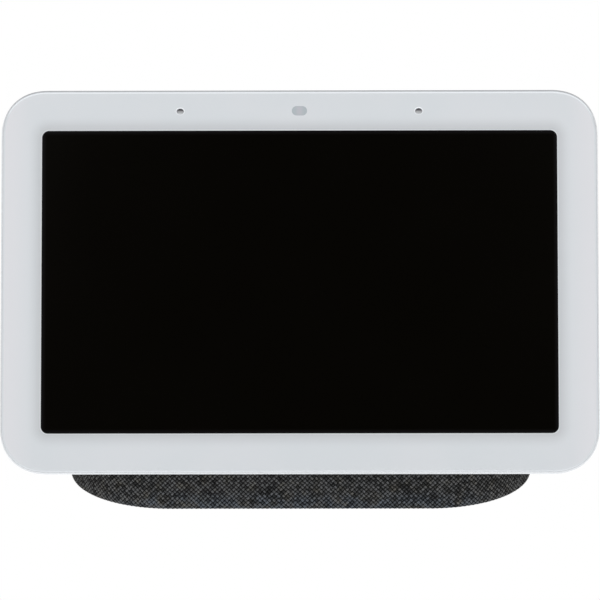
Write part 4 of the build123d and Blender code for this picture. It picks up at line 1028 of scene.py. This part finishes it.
def build_world():
    """A bright even room, white to the camera and darker in the direction the glass mirrors."""
    world = bpy.data.worlds.new("studio")
    bpy.context.scene.world = world
    world.use_nodes = True
    tree = world.node_tree
    tree.nodes.clear()
    place = tree.nodes.new("ShaderNodeTexCoord").outputs["Generated"]
    split = tree.nodes.new("ShaderNodeSeparateXYZ")
    tree.links.new(place, split.inputs[0])
    overhead = smooth_range(tree, split.outputs["Z"], -0.2, 1.0)
    room = blend_colour(tree, overhead, ROOM_LOW, ROOM_HIGH)
    mirror = Vector((0.0, -cos(MIRROR_RISE), sin(MIRROR_RISE)))
    facing = tree.nodes.new("ShaderNodeVectorMath")
    facing.operation = "DOT_PRODUCT"
    tree.links.new(place, facing.inputs[0])
    facing.inputs[1].default_value = mirror
    flag = smooth_range(tree, facing.outputs["Value"], 0.55, 0.95)
    path = tree.nodes.new("ShaderNodeLightPath")
    shade = calc(tree, "MULTIPLY", flag, path.outputs["Is Glossy Ray"])
    lit = blend_colour(tree, shade, room, ROOM_SHADE)
    seen = blend_colour(tree, path.outputs["Is Camera Ray"], lit, WHITE)
    glow = tree.nodes.new("ShaderNodeBackground")
    tree.links.new(seen, glow.inputs["Color"])
    output = tree.nodes.new("ShaderNodeOutputWorld")
    tree.links.new(glow.outputs[0], output.inputs["Surface"])


def add_softbox(name, place, aim, size, power):
    light = bpy.data.lights.new(name, "AREA")
    light.shape = "RECTANGLE"
    light.size, light.size_y = size
    light.energy = power
    obj = bpy.data.objects.new(name, light)
    bpy.context.scene.collection.objects.link(obj)
    obj.location = place
    obj.rotation_mode = "QUATERNION"
    obj.rotation_quaternion = (Vector(aim) - Vector(place)).to_track_quat("-Z", "Y")


def build_camera():
    data = bpy.data.cameras.new("main_camera")
    data.sensor_width = 36.0
    data.lens = CAMERA_LENS
    data.shift_x = CAMERA_SHIFT[0]
    data.shift_y = CAMERA_SHIFT[1]
    data.clip_start, data.clip_end = 0.01, 20.0
    camera = bpy.data.objects.new("main_camera", data)
    bpy.context.scene.collection.objects.link(camera)
    target = Vector(head_to_row([(0.0, MID, 0.0)])[0] * MM)
    level_reach = cos(CAMERA_RISE)
    back = Vector((sin(CAMERA_TURN) * level_reach, -cos(CAMERA_TURN) * level_reach, sin(CAMERA_RISE)))
    camera.location = target + back * CAMERA_DISTANCE
    camera.rotation_mode = "QUATERNION"
    roll = Quaternion((0.0, 0.0, 1.0), CAMERA_ROLL)
    camera.rotation_quaternion = (-back).to_track_quat("-Z", "Y") @ roll
    bpy.context.scene.camera = camera


dress_cad_pieces()
soften_edges()
build_glass()
build_mic_meshes()
build_housing()
build_fabric()
build_floor()
build_world()
for name, x in (("key_left", -KEY_X), ("key_right", KEY_X)):
    add_softbox(name, (x, *KEY_PLACE), KEY_AIM, KEY_SIZE, KEY_POWER)
build_camera()
bpy.context.scene.view_settings.view_transform = "Standard"
